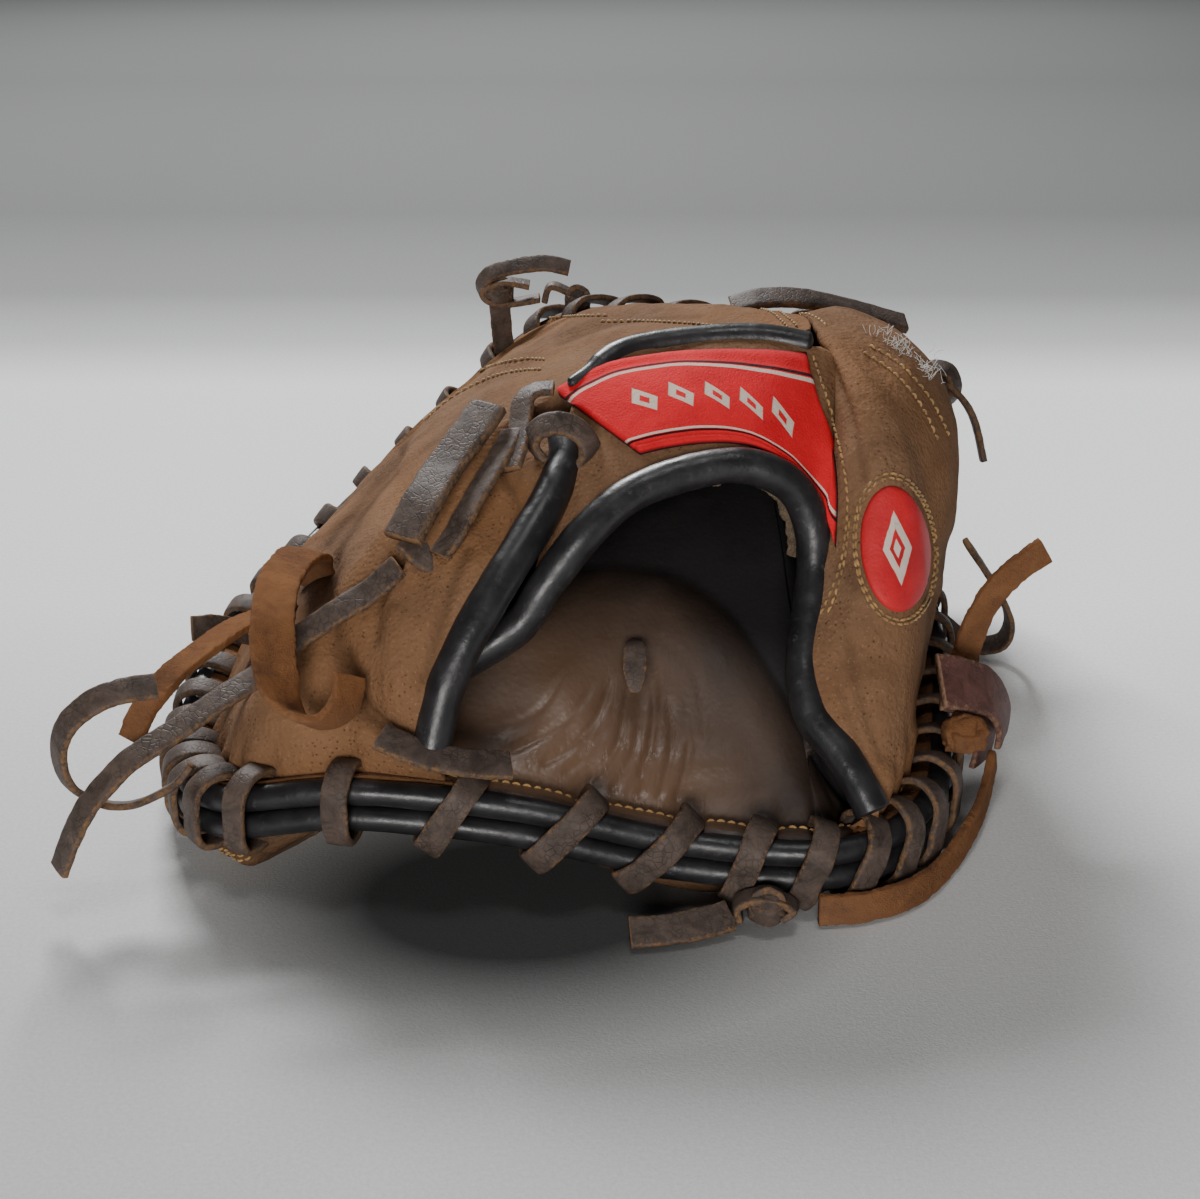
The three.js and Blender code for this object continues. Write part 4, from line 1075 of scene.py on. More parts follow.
THUMB_CREASES = [
    (0.9, 5, [(830, 355), (855, 420), (866, 480)]),
    (-1.2, 16, [(900, 380), (930, 450), (945, 520)]),
    (1.0, 8, [(930, 600), (925, 660), (915, 720)]),
    (0.8, 7, [(850, 640), (860, 700), (880, 760)]),
    (0.7, 5, [(840, 690), (858, 740), (882, 790)]),
]


THUMB_WRIST = THUMB_ROLL_PATH[THUMB_EDGE_TO:][::-1]
BACK_STEPS = 130
HOLLOW_MIDDLE = np.array([POLE[0] - 20, POLE[1] - 10, 50])
# name, node, table, side, edge from the heel on, creases, lines for each row, seed
FINGER_BACK = (
    "finger_back_cover", "finger_back", FINGER_ROWS, -1, FINGER_ROLL_PATH, FINGER_CREASES, 14, 41,
)
THUMB_BACK = (
    "thumb_back_cover", "thumb_back", THUMB_ROWS, 1, np.concatenate([THUMB_WRIST, STRAP_SEAM]),
    THUMB_CREASES, 16, 61,
)
# The part of the finger back's grid that has the inner cloth under it
FINGER_LINING_ROWS = slice(70, 141)
FINGER_LINING_COLS = slice(68, -12)


def make_finger_lining(grid, normals):
    """The inner cloth, laid under the part of the finger back that shows in the opening."""
    normals = normals[FINGER_LINING_ROWS, FINGER_LINING_COLS]
    grid = grid[FINGER_LINING_ROWS, FINGER_LINING_COLS]
    grid = moved(grid, normals, -(2.3 + 0.25 * rough(grid, 9, 95, 3)))
    sheet(
        "finger_lining_cloth", grid, normals, CLOTH_HALF, CLOTH_HALF, CLOTH, "inner_cloth",
        ["finger_lining"],
    )


# Share of the strap's width that is tucked in behind its roll, and how steeply in millimetres
STRAP_TUCK = 0.3
TUCK_DEPTH = 36


def make_strap():
    finer, steps = 16, 60
    rows = through(STRAP_ROWS, (len(STRAP_ROWS) - 1) * finer)
    high = rows[:, :3].copy()
    low = curve(THUMB_ROLL_PATH, rows[:, 3])
    down = unit(low - high)
    high += down * 1.5
    low -= down * (WRIST_ROLL - 0.8)
    share = np.linspace(-STRAP_TUCK, 1, steps + 1)[None, :, None]
    behind = np.clip((high[:, 0] + 2) / 12, 0.1, 1)[:, None, None]
    share = np.where(share < 0, share * behind, share)
    grid = high[:, None] + (low - high)[:, None] * share
    grid[..., 2] += rows[:, 4:5] * np.sin(np.pi * clamp(share[..., 0]))
    grid[..., 2] -= TUCK_DEPTH * clamp(-share[..., 0])
    normals = normals_toward(grid, (len(grid) // 2, steps // 2))
    grid = moved(grid, normals, 0.35 * rough(grid, 14, 71, 3))
    sheet(
        "wrist_strap_cover", grid, normals, STRAP_THICK / 2, STRAP_THICK / 2, [BACK, CLOTH],
        "back_leather", ["wrist_strap"], keep="strap", kinds=inner_kinds(*grid.shape[:2]), wear=0.2, dirt=0,
    )


# Rolls

def make_roll(name, node, path, radius, closed=False, across=None, square=None, thin=1.0):
    if across is None:
        across, square = carried(path, (0, 0, 1))
    scale = thin * (1 + 0.035 * rough(path, 9, 81, 3))
    if not closed:
        scale *= np.sqrt(clamp((from_ends(len(path)) + 0.4) / 3))
    points, faces = swept(path, across, square, round_section(radius), closed, scale)
    build(name, points, faces, ROLL, "roll_leather", [node])
    keep_surface(name, points, faces)


def make_rolls():
    steps = 640
    us = np.arange(steps) * len(RIM) / steps
    _, _, up, out = rim_frame(us)
    for side, height in (("upper", ROLL_APART / 2), ("lower", -ROLL_APART / 2)):
        path = from_rim(us, 0, height)
        make_roll(side + "_roll", "rim_roll_" + side, path, ROLL_RADIUS + 0.12, True, out, up)
    finger = np.concatenate([[FINGER_ROLL_END], FINGER_ROLL_PATH])
    make_roll("finger_edge_roll", "finger_roll", through(finger, 160), WRIST_ROLL)
    thumb = np.concatenate([[THUMB_ROLL_END], THUMB_ROLL_PATH])
    make_roll("thumb_edge_roll", "strap_thumb_roll", through(thumb, 290), WRIST_ROLL - 0.2)
    strap = np.concatenate([[STRAP_ROLL_END], STRAP_ROWS[STRAP_ROLL_ROWS, :3]])
    thin = np.interp(np.arange(121), [0, 28], [0.35, 1])
    make_roll("strap_edge_roll", "strap_top_roll", through(strap, 120), STRAP_ROLL, thin=thin)
    web = from_rim(np.linspace(7.05, 11.1, 161), ROLL_RADIUS + WEB_ROLL + FIT, 0)
    make_roll("web_edge_roll", "web_roll", web, WEB_ROLL)


# Laces round the rim

# Out from the rim and up, round one pass, which starts and ends under the leather
PASS_PROFILE = [
    (-10.5, 1.5), (-9.3, 5.0), (-7.2, 7.6), (-3.5, 9.0), (0.6, 9.0), (4.3, 6.6), (5.4, 3.0), (5.3, -1.5),
    (5.2, -5.0), (3.4, -8.3), (-0.5, -9.4), (-5.0, -9.0), (-8.5, -7.0),
]


def worn_edge(section, width, count):
    """How raw a strip is at each point of its section, for a path of this many points."""
    edge = np.tile(np.abs(section[:, 0]) / (width / 2), count)
    return clamp(edge * 1.02 - 0.12) * 0.95


def lace_pass(heap, upper, lower, wide, seed):
    steps = 44
    profile = spaced(np.array(PASS_PROFILE, float), steps)
    share = np.linspace(0, 1, steps + 1)
    blend = share * share * (3 - 2 * share)
    us = upper + (lower - upper) * clamp(1.5 * blend - 0.25)
    out = profile[:, 0] + wide * clamp(profile[:, 0] / 5)
    path = from_rim(us, out, profile[:, 1])
    path += 0.25 * rough_shift(path, 11, seed)
    direction = unit(np.gradient(path, axis=0))
    square = path - path.mean(0)
    square = unit(square - direction * np.einsum("ij,ij->i", square, direction)[:, None])
    across = np.cross(direction, square)
    width = LACE_WIDTH * (1 + 0.08 * math.sin(seed * 2.3))
    section = strip_section(width, LACE_THICK)
    scale = 1 + 0.05 * rough(path, 5, seed + 11, 2)
    points, faces = swept(path, across, square, section, scale=scale)
    heap.add(points, faces, edge=worn_edge(section, width, len(path)))


def make_rim_lace(name, node, passes, wide, seed):
    heap = Heap()
    for k, (upper, lower) in enumerate(passes):
        lace_pass(heap, upper, lower, wide, seed + 3 * k)
    heap.build(name, LACE, "lace", [node])


# name, node, passes, how much further out, seed
RIM_LACES = [
    ("heel_lace_passes", "heel_lace", HEEL_PASSES, 0, 100),
    ("thumb_lace_passes", "thumb_rim_lace", THUMB_PASSES, 0, 200),
    ("finger_lace_passes", "finger_rim_lace", FINGER_PASSES, 0, 300),
    ("web_thumb_passes", "web_lace_thumb", WEB_THUMB_PASSES, 2 * WEB_ROLL, 400),
    ("web_finger_passes", "web_lace_finger", WEB_FINGER_PASSES, 2 * WEB_ROLL, 500),
]


# Web

def make_web():
    rows = through(WEB_ROWS, 60)
    left = from_rim(rows[:, 0], WEB_OUT, 0)
    right = from_rim(rows[:, 1], WEB_OUT, 0)
    share = np.linspace(0, 1, 71)[None, :, None]
    grid = left[:, None] + (right - left)[:, None] * share
    grid[..., 2] += rows[:, 2:3] * np.sin(np.pi * share[..., 0])
    normals = normals_toward(grid, (30, 35))
    grid = moved(grid, normals, 0.4 * rough(grid, 12, 91, 3))
    half = SHELL_THICK / 2
    sheet("web_cover", grid, normals, half, half, BACK, "back_leather", ["web"], wear=0.3, dirt=0)


# Free laces, knots and ties, along points placed over the photograph: name, kind, width and
# thickness where they aren't the kind's own, facing at the start, whether it is a cord, points
STRIP_SIZES = {
    "lace": (LACE_WIDTH, LACE_THICK), "suede": (SUEDE_WIDTH, SUEDE_THICK), "tab": (TAB_WIDTH, LACE_THICK),
}
FREE = [
    ("heel_lace_end", "lace", None, (-0.3, -0.6, 0.7), True, [
        (-48.1, -78.3, 78.2), (-55.4, -80, 72), (-64, -83, 67.5), (-74.5, -83, 59.5), (-82, -86, 53),
        (-90.5, -92, 49.5), (-99.5, -98, 45), (-110.5, -104, 39.5), (-116.5, -106, 34), (-121.5, -107, 28),
        (-125.5, -108, 20.5), (-129, -108, 12)]),
    ("heel_lace_loop", "lace", None, (0, -0.6, 0.8), True, [
        (-104, -98, 56), (-112, -101, 56), (-119.5, -102, 53), (-125.5, -102, 47), (-128, -101, 39),
        (-126.5, -100, 30.5), (-120, -98, 24.5), (-113, -97, 23.5), (-107, -96, 25.5), (-102.3, -93.8, 27.7),
        (-98.8, -92, 31.6)]),
    ("suede_tie_loop", "suede", (10.5, 2.4), (0.2, 0.1, 1), True, [
        (-75.5, -30, 59.7), (-74.5, -44, 67), (-75.5, -58, 72), (-77.5, -74, 72.5), (-77.5, -87, 68.5),
        (-76.5, -96, 61.5), (-74, -101, 54.5), (-69.5, -104, 50.5), (-64, -104, 50), (-59.5, -102, 53.5),
        (-58.5, -98.5, 59)]),
    ("suede_tie_end", "suede", None, (-0.4, -0.5, 0.75), True, [
        (-83.4, -40, 49.3), (-91.5, -52, 51), (-97.5, -66, 51.5), (-103.5, -78, 50.5), (-107.5, -85, 47.5),
        (-111, -89, 43), (-113, -91, 38)]),
    ("suede_tie_root", "suede", (9.8, 2.4), (0.2, 0.5, 0.85), False, [
        (-75.5, -31.5, 61), (-75.6, -27.5, 58.5), (-75.8, -24.5, 54.5), (-76, -23, 49)]),
    ("fingertip_root", "lace", None, (0, -1, 0.2), False, [
        (-30.5, 107.5, 72), (-31, 105, 79), (-31.3, 102, 86), (-31.5, 100.5, 93)]),
    ("fingertip_bow_root", "lace", None, (0.2, -1, 0.2), False, [
        (-6, 98.5, 80), (-6.3, 99.5, 84), (-6.8, 100.5, 88), (-7, 101, 92)]),
    ("thumb_knot_root", "lace", (6, 2.0), (0, 0.2, 1), False, [
        (90, 76.5, 71), (95, 76.3, 73), (100, 76, 73.2), (104, 75.5, 72.5)]),
    ("suede_end_root", "suede", (7.6, 2.4), (-0.4, 0.2, 0.85), False, [
        (-84.5, -41.5, 49.6), (-82.8, -38.5, 48.6), (-81.8, -36.5, 45.5), (-81.3, -35.5, 40)]),
    ("side_lace_stub", "lace", None, (-0.3, -0.8, 0.5), False, [
        (-91.2, -33, 39), (-100.5, -37, 43), (-107, -40, 44)]),
    ("strap_lace_fold", "lace", (10.5, 3.2), (-0.35, -0.55, 0.75), False, [
        (-27.5, -43.5, 106.6), (-31.9, -49.6, 102), (-37.8, -58, 96.2), (-42.5, -68, 91),
        (-47.2, -75.5, 84)]),
    ("strap_lace_under", "lace", (7, 2.2), (0.5, -0.6, 0.6), False, [
        (-46.5, -73, 82.6), (-41.5, -76.5, 79), (-36.5, -76, 78), (-32.5, -73, 80.5)]),
    ("strap_lace_behind", "lace", None, (-0.5, -0.5, 0.7), False, [
        (-21.5, -49, 102), (-25, -57, 97.5), (-30, -66, 91.5), (-35, -74, 84.5), (-38.5, -77.5, 80.5)]),
    ("strap_lace_end", "lace", None, (-0.9, 0, 0.4), False, [
        (-11.5, -39.5, 110), (-16, -39.5, 109.5), (-19, -42, 107.5), (-19.7, -47.5, 103.5),
        (-20.5, -55, 99.5), (-22, -60.5, 96)]),
    ("strap_lace_loop", "lace", (6.2, 2.2), (-0.9, -0.32, 0.25), False, [
        (-14.5, -53, 96.5), (-16.4, -53.5, 99.5), (-16.4, -54, 102.5), (-14.2, -54.5, 105),
        (-10, -55, 106), (-5.9, -55, 104.6), (-3, -55, 101.4), (-2.4, -55, 98), (-4.4, -55, 94.6)]),
    ("fingertip_knot", "lace", None, (0, 0, -1), False, [
        (-18.9, 100, 93.5), (-28, 100, 92), (-35, 100, 93), (-36.5, 100, 96.5), (-30, 100, 98.7),
        (-22, 100, 97.7)]),
    ("fingertip_lace_end", "lace", (5.5, 2.0), (-1, -0.5, 0.3), False, [
        (-35.5, 100, 93), (-37, 99.6, 97.5), (-34, 99, 101.6), (-26, 98.5, 104), (-17, 98.5, 105),
        (-9.5, 98.5, 103.4)]),
    ("fingertip_lace_bow", "lace", (5, 2.0), (-1, 0, 0.2), False, [
        (-17.5, 103, 91.5), (-15.5, 103, 96.5), (-9.5, 102.7, 94.5), (-3.5, 102.4, 90.2)]),
    ("thumb_top_lace", "lace", (8, 2.6), (0, -0.35, 0.9), False, [
        (38, 50, 105), (46, 50.5, 107.3), (58, 52, 107), (73, 56, 102.8), (90, 60, 97)]),
    ("thumb_knot", "lace", None, (-1, 0, 0.2), False, [
        (98, 77.3, 75.2), (101, 76.3, 78.2), (106.5, 75.3, 77.7), (109, 74.3, 72.2), (106, 74.3, 67.7),
        (100.5, 76.3, 67.2)]),
    ("thumb_knot_end", "lace", (4.5, 2.0), (0.9, 0, 0.4), False, [
        (106, 74, 73.5), (110.7, 71.3, 69.8), (114.7, 70, 63), (118, 68, 51)]),
    ("thumb_side_loop", "lace", None, (0.8, 0, 0.6), True, [
        (106.5, 22, 42), (111.5, 25, 34.5), (118.5, 29, 23), (122.5, 32, 13.5), (121.5, 34, 6),
        (116, 35, 3.8), (109.5, 35, 6), (103.2, 35, 11.5)]),
    ("suede_thumb_end", "suede", None, (0.35, -0.9, 0.1), True, [
        (96.4, -35, 21.8), (96.8, -34.5, 29.5), (99.2, -33, 40), (103, -31, 48), (109.5, -28.5, 55),
        (118, -26, 60.5)]),
    ("thumb_side_tab", "tab", None, (0.3, -0.6, 0.7), False, [
        (86.7, -59.6, 38.4), (94, -56.3, 35.7), (101.5, -51.8, 30.7), (105.5, -50, 23.5), (105.5, -50, 17)]),
    ("suede_heel_end", "suede", None, (0.9, -0.4, 0), True, [
        (103, -53, 12), (100.5, -61, 8.5), (97, -71, 7), (92.5, -81, 6), (87, -91, 5), (80.5, -101, 4.8),
        (72.5, -108.5, 4.8), (62, -113.2, 4.8), (52, -114.5, 4.8)]),
    ("heel_knot", "lace", (6, 2.0), (-1, 0, 0), False, [
        (33, -115.3, 3.5), (32.5, -115.3, 7), (36, -115.3, 9), (42, -115.3, 8.5), (46, -115.7, 6),
        (43, -116.2, 3.5)]),
    ("heel_knot_end", "lace", (8, 2.0), (0, -0.5, 0.8), False, [
        (30.8, -116.5, 4.6), (23, -119.5, 4.1), (15, -121.5, 3.8), (7, -122.5, 3.8)]),
    ("heel_tab", "lace", (8, 2.0), (0, -0.3, 1), False, [
        (-51.5, -104.5, 46.3), (-46, -106, 44.2), (-39, -107, 42), (-30, -106.6, 40), (-21, -104.5, 38.3)]),
    ("side_tab_inner", "tab", None, (0.5, -0.6, 0.5), False, [
        (88, -55.5, 36), (95, -52.5, 32), (100, -50, 25), (101.5, -49, 17), (100.5, -49.5, 10)]),
    ("lining_lace", "lace", (6, 2.0), (0, 0.6, 0.8), False, [
        (8.6, -63.8, 51.9), (8.6, -68.3, 51.9), (8.6, -73.3, 48.4), (8.6, -77.3, 43.9)]),
]
LACE_LOOKS = {"lace": LACE, "suede": SUEDE, "tab": TAB}
# Strips that stand for no node
EXTRA = {
    "side_tab_inner", "strap_lace_under", "strap_lace_behind", "suede_tie_root", "fingertip_root",
    "fingertip_bow_root", "thumb_knot_root", "suede_end_root",
}
# Strips with rounded ends
ROUNDED = {"lining_lace"}
# Share of the length, and how far a strip has turned about itself there in degrees
TWISTS = {"suede_tie_loop": ([0, 0.68, 0.82, 0.92, 1], [0, 0, 70, 105, 115])}


def make_free(name, kind, size, facing, is_cord, points, seed):
    width, thick = size or STRIP_SIZES[kind]
    fuzzy = kind == "suede"
    path = spaced(np.array(points, float), max(60, (34 if fuzzy else 16) * len(points)))
    across, square = carried(path, facing)
    if name in TWISTS:
        turn = np.radians(np.interp(np.linspace(0, 1, len(path)), *TWISTS[name]))[:, None]
        across, square = (
            across * np.cos(turn) + square * np.sin(turn), square * np.cos(turn) - across * np.sin(turn),
        )
    section = strip_section(width, thick, 40 if fuzzy else 22)
    ragged = 0.035 if fuzzy else 0.02
    scale = 1 + ragged * rough(path, 4, seed, 3)
    if name in ROUNDED:
        scale *= clamp(np.sin(np.pi * np.linspace(0.02, 0.98, len(path)))) ** 0.45
    shape, faces = swept(path, across, square, section, scale=scale)
    normals = unit(shape - np.repeat(path, len(section), axis=0))
    depth = 0.2 if fuzzy else 0.13
    shape = moved(shape, normals, depth * rough(shape, 1.3 if fuzzy else 2.4, seed + 1, 3))
    shape[:, 2] = np.maximum(shape[:, 2], 0.1)
    tips = np.repeat(np.exp(-from_ends(len(path)) / 0.7), len(section))
    edge = np.maximum(worn_edge(section, width, len(path)), tips)
    nodes = [] if name in EXTRA else [name]
    slot = "lace" if kind == "tab" else kind
    piece = build(name + "_strip", shape, faces, LACE_LOOKS[kind], slot, nodes, edge=edge)


# Tilt of each turn about the first axis, and how far it is lifted
KNOT_TURNS = [(0.2, 0.0), (1.2, 0.7), (2.3, -0.6)]
# name, slot, nodes, centre, reach, width, thickness, seed
KNOTS = [
    ("suede_knot_turns", "suede", ["suede_knot"], (92.7, -66, 26.3), 3.4, 6, 3.4, 760),
    ("fingertip_knot_turns", "lace", [], (-31.5, 100, 95.5), 3.4, 4.6, 2, 770),
    ("fingertip_bow_turns", "lace", [], (-7, 101, 92.6), 3.0, 4.6, 2, 775),
    ("thumb_knot_turns", "lace", [], (103.5, 75.5, 72.5), 3.6, 4.8, 2, 780),
    ("heel_knot_turns", "lace", [], (39.5, -115.5, 6.4), 3.6, 4.8, 2, 785),
]


def make_knot(name, slot, nodes, centre, reach, width, thick, seed):
    """Three turns of a lace pulled tight round one another."""
    centre = np.array(centre, float)
    heap = Heap()
    section = strip_section(width, thick, 16)
    lumps = 0.3 if slot == "suede" else 0.14
    for k, (tilt, lift) in enumerate(KNOT_TURNS):
        turn = np.linspace(0, 2 * np.pi, 48, endpoint=False)
        flat = np.stack([np.cos(turn), np.sin(turn) * math.cos(tilt), np.sin(turn) * math.sin(tilt)], -1)
        path = centre + flat * reach + [0, 0, lift]
        square = unit(flat)
        across = np.cross(unit(np.roll(path, -1, 0) - np.roll(path, 1, 0)), square)
        points, faces = swept(path, across, square, section, closed=True)
        points = moved(points, unit(points - centre), lumps * thick * rough(points, 3, seed + k, 3))
        heap.add(points, faces, edge=worn_edge(section, width, len(path)))
    heap.build(name, LACE_LOOKS[slot], slot, nodes)


# Label and patch, laid on the leather where the photograph shows them

LABEL_TOP = [(553, 391), (577, 378), (610, 363), (660, 354), (710, 350), (760, 350), (806, 353)]
LABEL_LOW = [(640, 455), (665, 449), (700, 444), (735, 444), (765, 452), (800, 478), (826, 520), (832, 548)]
LABEL_RIGHT = [(806, 353), (818, 400), (832, 440), (838, 490), (836, 548)]
LABEL_SMOOTHING = 14
CARRIERS = ["strap", "finger_back_cover", "thumb_back_cover", "finger_edge_roll"]


def laid_line(pixels, names, lift):
    """The points of a line that are found on the surface."""
    found = [hit(x, y, names) for x, y in pixels]
    found = [(spot + normal * lift, normal) for spot, normal, _ in filter(None, found)]
    return np.array([spot for spot, _ in found]), [normal for _, normal in found]


def laid(pixels, names, lift):
    """Points over the surface at these pixels, and their normals. A miss takes its neighbour's depth."""
    spots, normals = [], []
    for x, y in pixels.reshape(-1, 2):
        found = hit(x, y, names)
        spots.append(found[0] + found[1] * lift if found else None)
        normals.append(found[1] if found else None)
    known = [k for k, s in enumerate(spots) if s is not None]
    for k, s in enumerate(spots):
        if s is None:
            j = min(known, key=lambda i: abs(i - k))
            ray = pixel_ray(*pixels.reshape(-1, 2)[k])
            spots[k] = EYE + ray * ((spots[j] - EYE) @ FORWARD) / (ray @ FORWARD)
            normals[k] = normals[j]
    shape = pixels.shape[:-1] + (3,)
    return np.array(spots).reshape(shape), np.array(normals).reshape(shape)


def make_label():
    steps, across = 150, 44
    top = pixel_line(LABEL_TOP, steps)
    low = pixel_line(LABEL_LOW, steps)
    right = pixel_line(LABEL_RIGHT, across)
    share = np.linspace(0, 1, across + 1)
    pixels = top[:, None] + (low - top)[:, None] * share[None, :, None]
    pull_right = clamp((np.linspace(0, 1, steps + 1) - 0.8) / 0.2)[:, None, None] ** 1.5
    straight = top[-1] + (low[-1] - top[-1]) * share[:, None]
    pixels = pixels + pull_right * (right - straight)[None]
    grid, normals = laid(pixels, CARRIERS, 0.4)
    for k in range(steps - 1, -1, -1):
        limit = (grid[k + 1] - EYE) @ FORWARD + 0.15
        far = (grid[k] - EYE) @ FORWARD
        grid[k] = EYE + (grid[k] - EYE) * np.minimum(limit / far, 1)[:, None]
    for _ in range(LABEL_SMOOTHING):
        grid = smooth_grid(grid, 1)
        normals = unit(smooth_grid(normals, 1))
    seam = np.minimum(share, 1 - share)[None]
    ends = from_ends(steps + 1)[:, None] / steps
    rise = 0.9 * clamp(np.minimum(seam / 0.05, ends / 0.02)) ** 0.5
    dip = 0.35 * bell(seam - 0.1, 0.02)
    rows, cols = grid.shape[:2]
    ripple = 0.18 * rough(grid, 9, 801, 3)
    s, t = np.meshgrid(np.linspace(0, 1, rows), share, indexing="ij")
    flat = np.stack([s.ravel(), t.ravel()], -1)
    edge = clamp(1 - np.minimum(seam / 0.018, ends / 0.008))
    edge = np.broadcast_to(edge, (rows, cols)).ravel()
    sheet(
        "label_cloth_cover", grid, normals, (rise - dip + ripple)[..., None], CLOTH_HALF, LABEL,
        "label_cloth", ["strap_label"], uv=flat, edge=np.concatenate([edge, np.ones(rows * cols)]),
    )


# The patch in the photograph's pixels, and its tilt in radians
PATCH_CENTRE = (895, 549)
PATCH_HALF = (34, 63)
PATCH_TILT = -0.09


def oval(ring, turn):
    x = PATCH_HALF[0] * ring * np.cos(turn)
    y = PATCH_HALF[1] * ring * np.sin(turn)
    c, s = math.cos(PATCH_TILT), math.sin(PATCH_TILT)
    return np.stack([PATCH_CENTRE[0] + x * c - y * s, PATCH_CENTRE[1] + x * s + y * c], -1)


def make_patch():
    rings, turns = 22, 96
    ring = np.linspace(0.02, 1, rings)
    turn = 2 * np.pi * np.arange(turns) / turns
    r, t = np.meshgrid(ring, turn, indexing="ij")
    pixels = oval(r, t)
    grid, normals = laid(pixels, ["thumb_back_cover"], 0.3)
    rise = 0.9 * np.sqrt(clamp(1 - r**8))
    points = moved(grid, normals, rise + 0.12 * rough(grid, 6, 811, 3))
    flat = np.stack([(r * np.cos(t)).ravel(), (r * np.sin(t)).ravel()], -1)
    faces = []
    for i in range(rings - 1):
        for j in range(turns):
            n = (j + 1) % turns
            faces.append([i * turns + j, (i + 1) * turns + j, (i + 1) * turns + n, i * turns + n])
    faces.append(list(range(turns)))
    skirt = len(points.reshape(-1, 3))
    low = (grid - normals * 0.8)[-1]
    for j in range(turns):
        n = (j + 1) % turns
        a, b = (rings - 1) * turns + j, (rings - 1) * turns + n
        faces.append([a, skirt + j, skirt + n, b])
    faces.append(list(range(skirt + turns - 1, skirt - 1, -1)))
    points = np.concatenate([points.reshape(-1, 3), low])
    flat = np.concatenate([flat, flat[-turns:]])
    build("thumb_patch_cover", points, faces, PATCH, "patch_leather", ["thumb_patch"], uv=flat)


# Stitches

THREAD_RADIUS = 0.34
# How much of the pitch a stitch covers
STITCH_SHARE = 0.72
# Surfaces, pitch and the photograph's points of each row
STITCH_ROWS = [
    ("finger_back_cover", 2.5, [(425, 420), (455, 396), (490, 378), (520, 371), (545, 370)]),
    ("finger_back_cover", 2.5, [(420, 411), (450, 387), (485, 369), (518, 360), (548, 360)]),
    ("finger_back_cover", 2.5, [(600, 322), (650, 322), (700, 325), (740, 331), (765, 337)]),
    ("finger_back_cover", 2.5, [(497, 328), (530, 321), (570, 317), (610, 316)]),
    ("thumb_back_cover strap", 2.4, [
        (812, 355), (822, 385), (836, 430), (845, 470), (848, 510), (842, 560), (830, 595), (818, 620)]),
    ("thumb_back_cover", 2.4, [(850, 520), (845, 560), (835, 597), (824, 622)]),
    ("thumb_back_cover", 2.5, [(868, 345), (900, 365), (930, 400), (950, 440)]),
    ("thumb_back_cover", 2.5, [(862, 352), (892, 372), (920, 405), (940, 447)]),
]


def stitch(heap, a, b, normal):
    steps = 6
    share = np.linspace(0, 1, steps + 1)
    arch = 0.42 * np.sin(np.pi * share) - 0.1
    path = a + (b - a) * share[:, None] + normal * arch[:, None]
    across, square = carried(path, normal)
    scale = np.clip(np.sin(np.pi * (0.12 + 0.76 * share)) * 1.25, 0.4, 1)
    points, faces = swept(path, across, square, round_section(THREAD_RADIUS, 7), scale=scale)
    heap.add(points, faces)


def stitch_row(heap, line, normals, pitch):
    run = run_along(line)
    count = int(run[-1] / pitch)
    for k in range(count):
        at = (k + 0.5) * pitch
        ends = []
        for place in (at - pitch * STITCH_SHARE / 2, at + pitch * STITCH_SHARE / 2):
            ends.append(np.array([np.interp(place, run, line[:, c]) for c in range(3)]))
        j = min(int(np.searchsorted(run, at)), len(normals) - 1)
        jitter = np.array([random.uniform(-0.12, 0.12) for _ in range(3)])
        stitch(heap, ends[0] + jitter, ends[1] - jitter, normals[j])


def make_stitches():
    heap = Heap()
    for name, pitch, pixels in STITCH_ROWS:
        line, normals = laid_line(pixel_line(pixels, 60), name.split(), 0.1)
        if len(line) > 2:
            stitch_row(heap, line, normals, pitch)
    for ring in (1.13, 1.2):
        turn = np.linspace(0, 2 * np.pi, 121)
        line, normals = laid_line(oval(np.full(121, ring), turn), ["thumb_back_cover"], 0.1)
        stitch_row(heap, line, normals, 2.3)
    heap.build("seam_stitches", THREAD, "lace")


def laid_near(spots, name, ways, least=0.0):
    """The surface's nearest points to these spots, and its normals, turned to face these ways."""
    found = [nearest(spot, name) for spot in spots]
    line = np.array([spot for spot, _ in found])
    return line, [n if n @ way > least else -n for (_, n), way in zip(found, ways)]


# Place on the rim from and to, surface
HEM_ROWS = [(-2.9, 3.0, "lining"), (1.3, 8.4, "thumb_back_cover"), (9.6, 18.5, "finger_back_cover")]
HEM_IN = 7.6
HEM_UP = 5.0
# Surface, start and end
SEAM_ROWS = [
    ("finger_back_cover", (52.0, -4, 116), (47.5, 33, 108)),
    ("finger_back_cover", (49.5, -4, 116), (45, 33, 108)),
    ("thumb_back_cover", (60.0, -2, 116), (53, 27, 108)),
]
# Place on the rim from and to, how far down
PAD_STITCHES = [(-3.5, -2.95, 12.4), (-3.5, -2.95, 14.6), (0.1, 0.5, 10.5), (0.1, 0.5, 12.6)]


def make_hems():
    heap = Heap()
    for first, last, name in HEM_ROWS:
        us = np.linspace(first, last, int(abs(last - first) * 24))
        line, normals = laid_near(from_rim(us, -HEM_IN, HEM_UP), name, rim_frame(us)[2])
        stitch_row(heap, line, normals, 2.6)
    for name, start, end in SEAM_ROWS:
        spots = np.array(start) + (np.array(end) - np.array(start)) * np.linspace(0, 1, 40)[:, None]
        line, normals = laid_near(spots, name, [(0, 0, 1)] * 40)
        stitch_row(heap, line, normals, 2.5)
    for first, last, drop in PAD_STITCHES:
        spots = from_rim(np.linspace(first, last, 30), -6.0, -drop)
        line, normals = laid_near(spots, "pad", [(0, 0, -1)] * 30, -0.3)
        stitch_row(heap, line, normals, 2.4)
    heap.build("hem_stitches", THREAD, "lace")


# Inside the opening: the raw edge behind the strap's roll

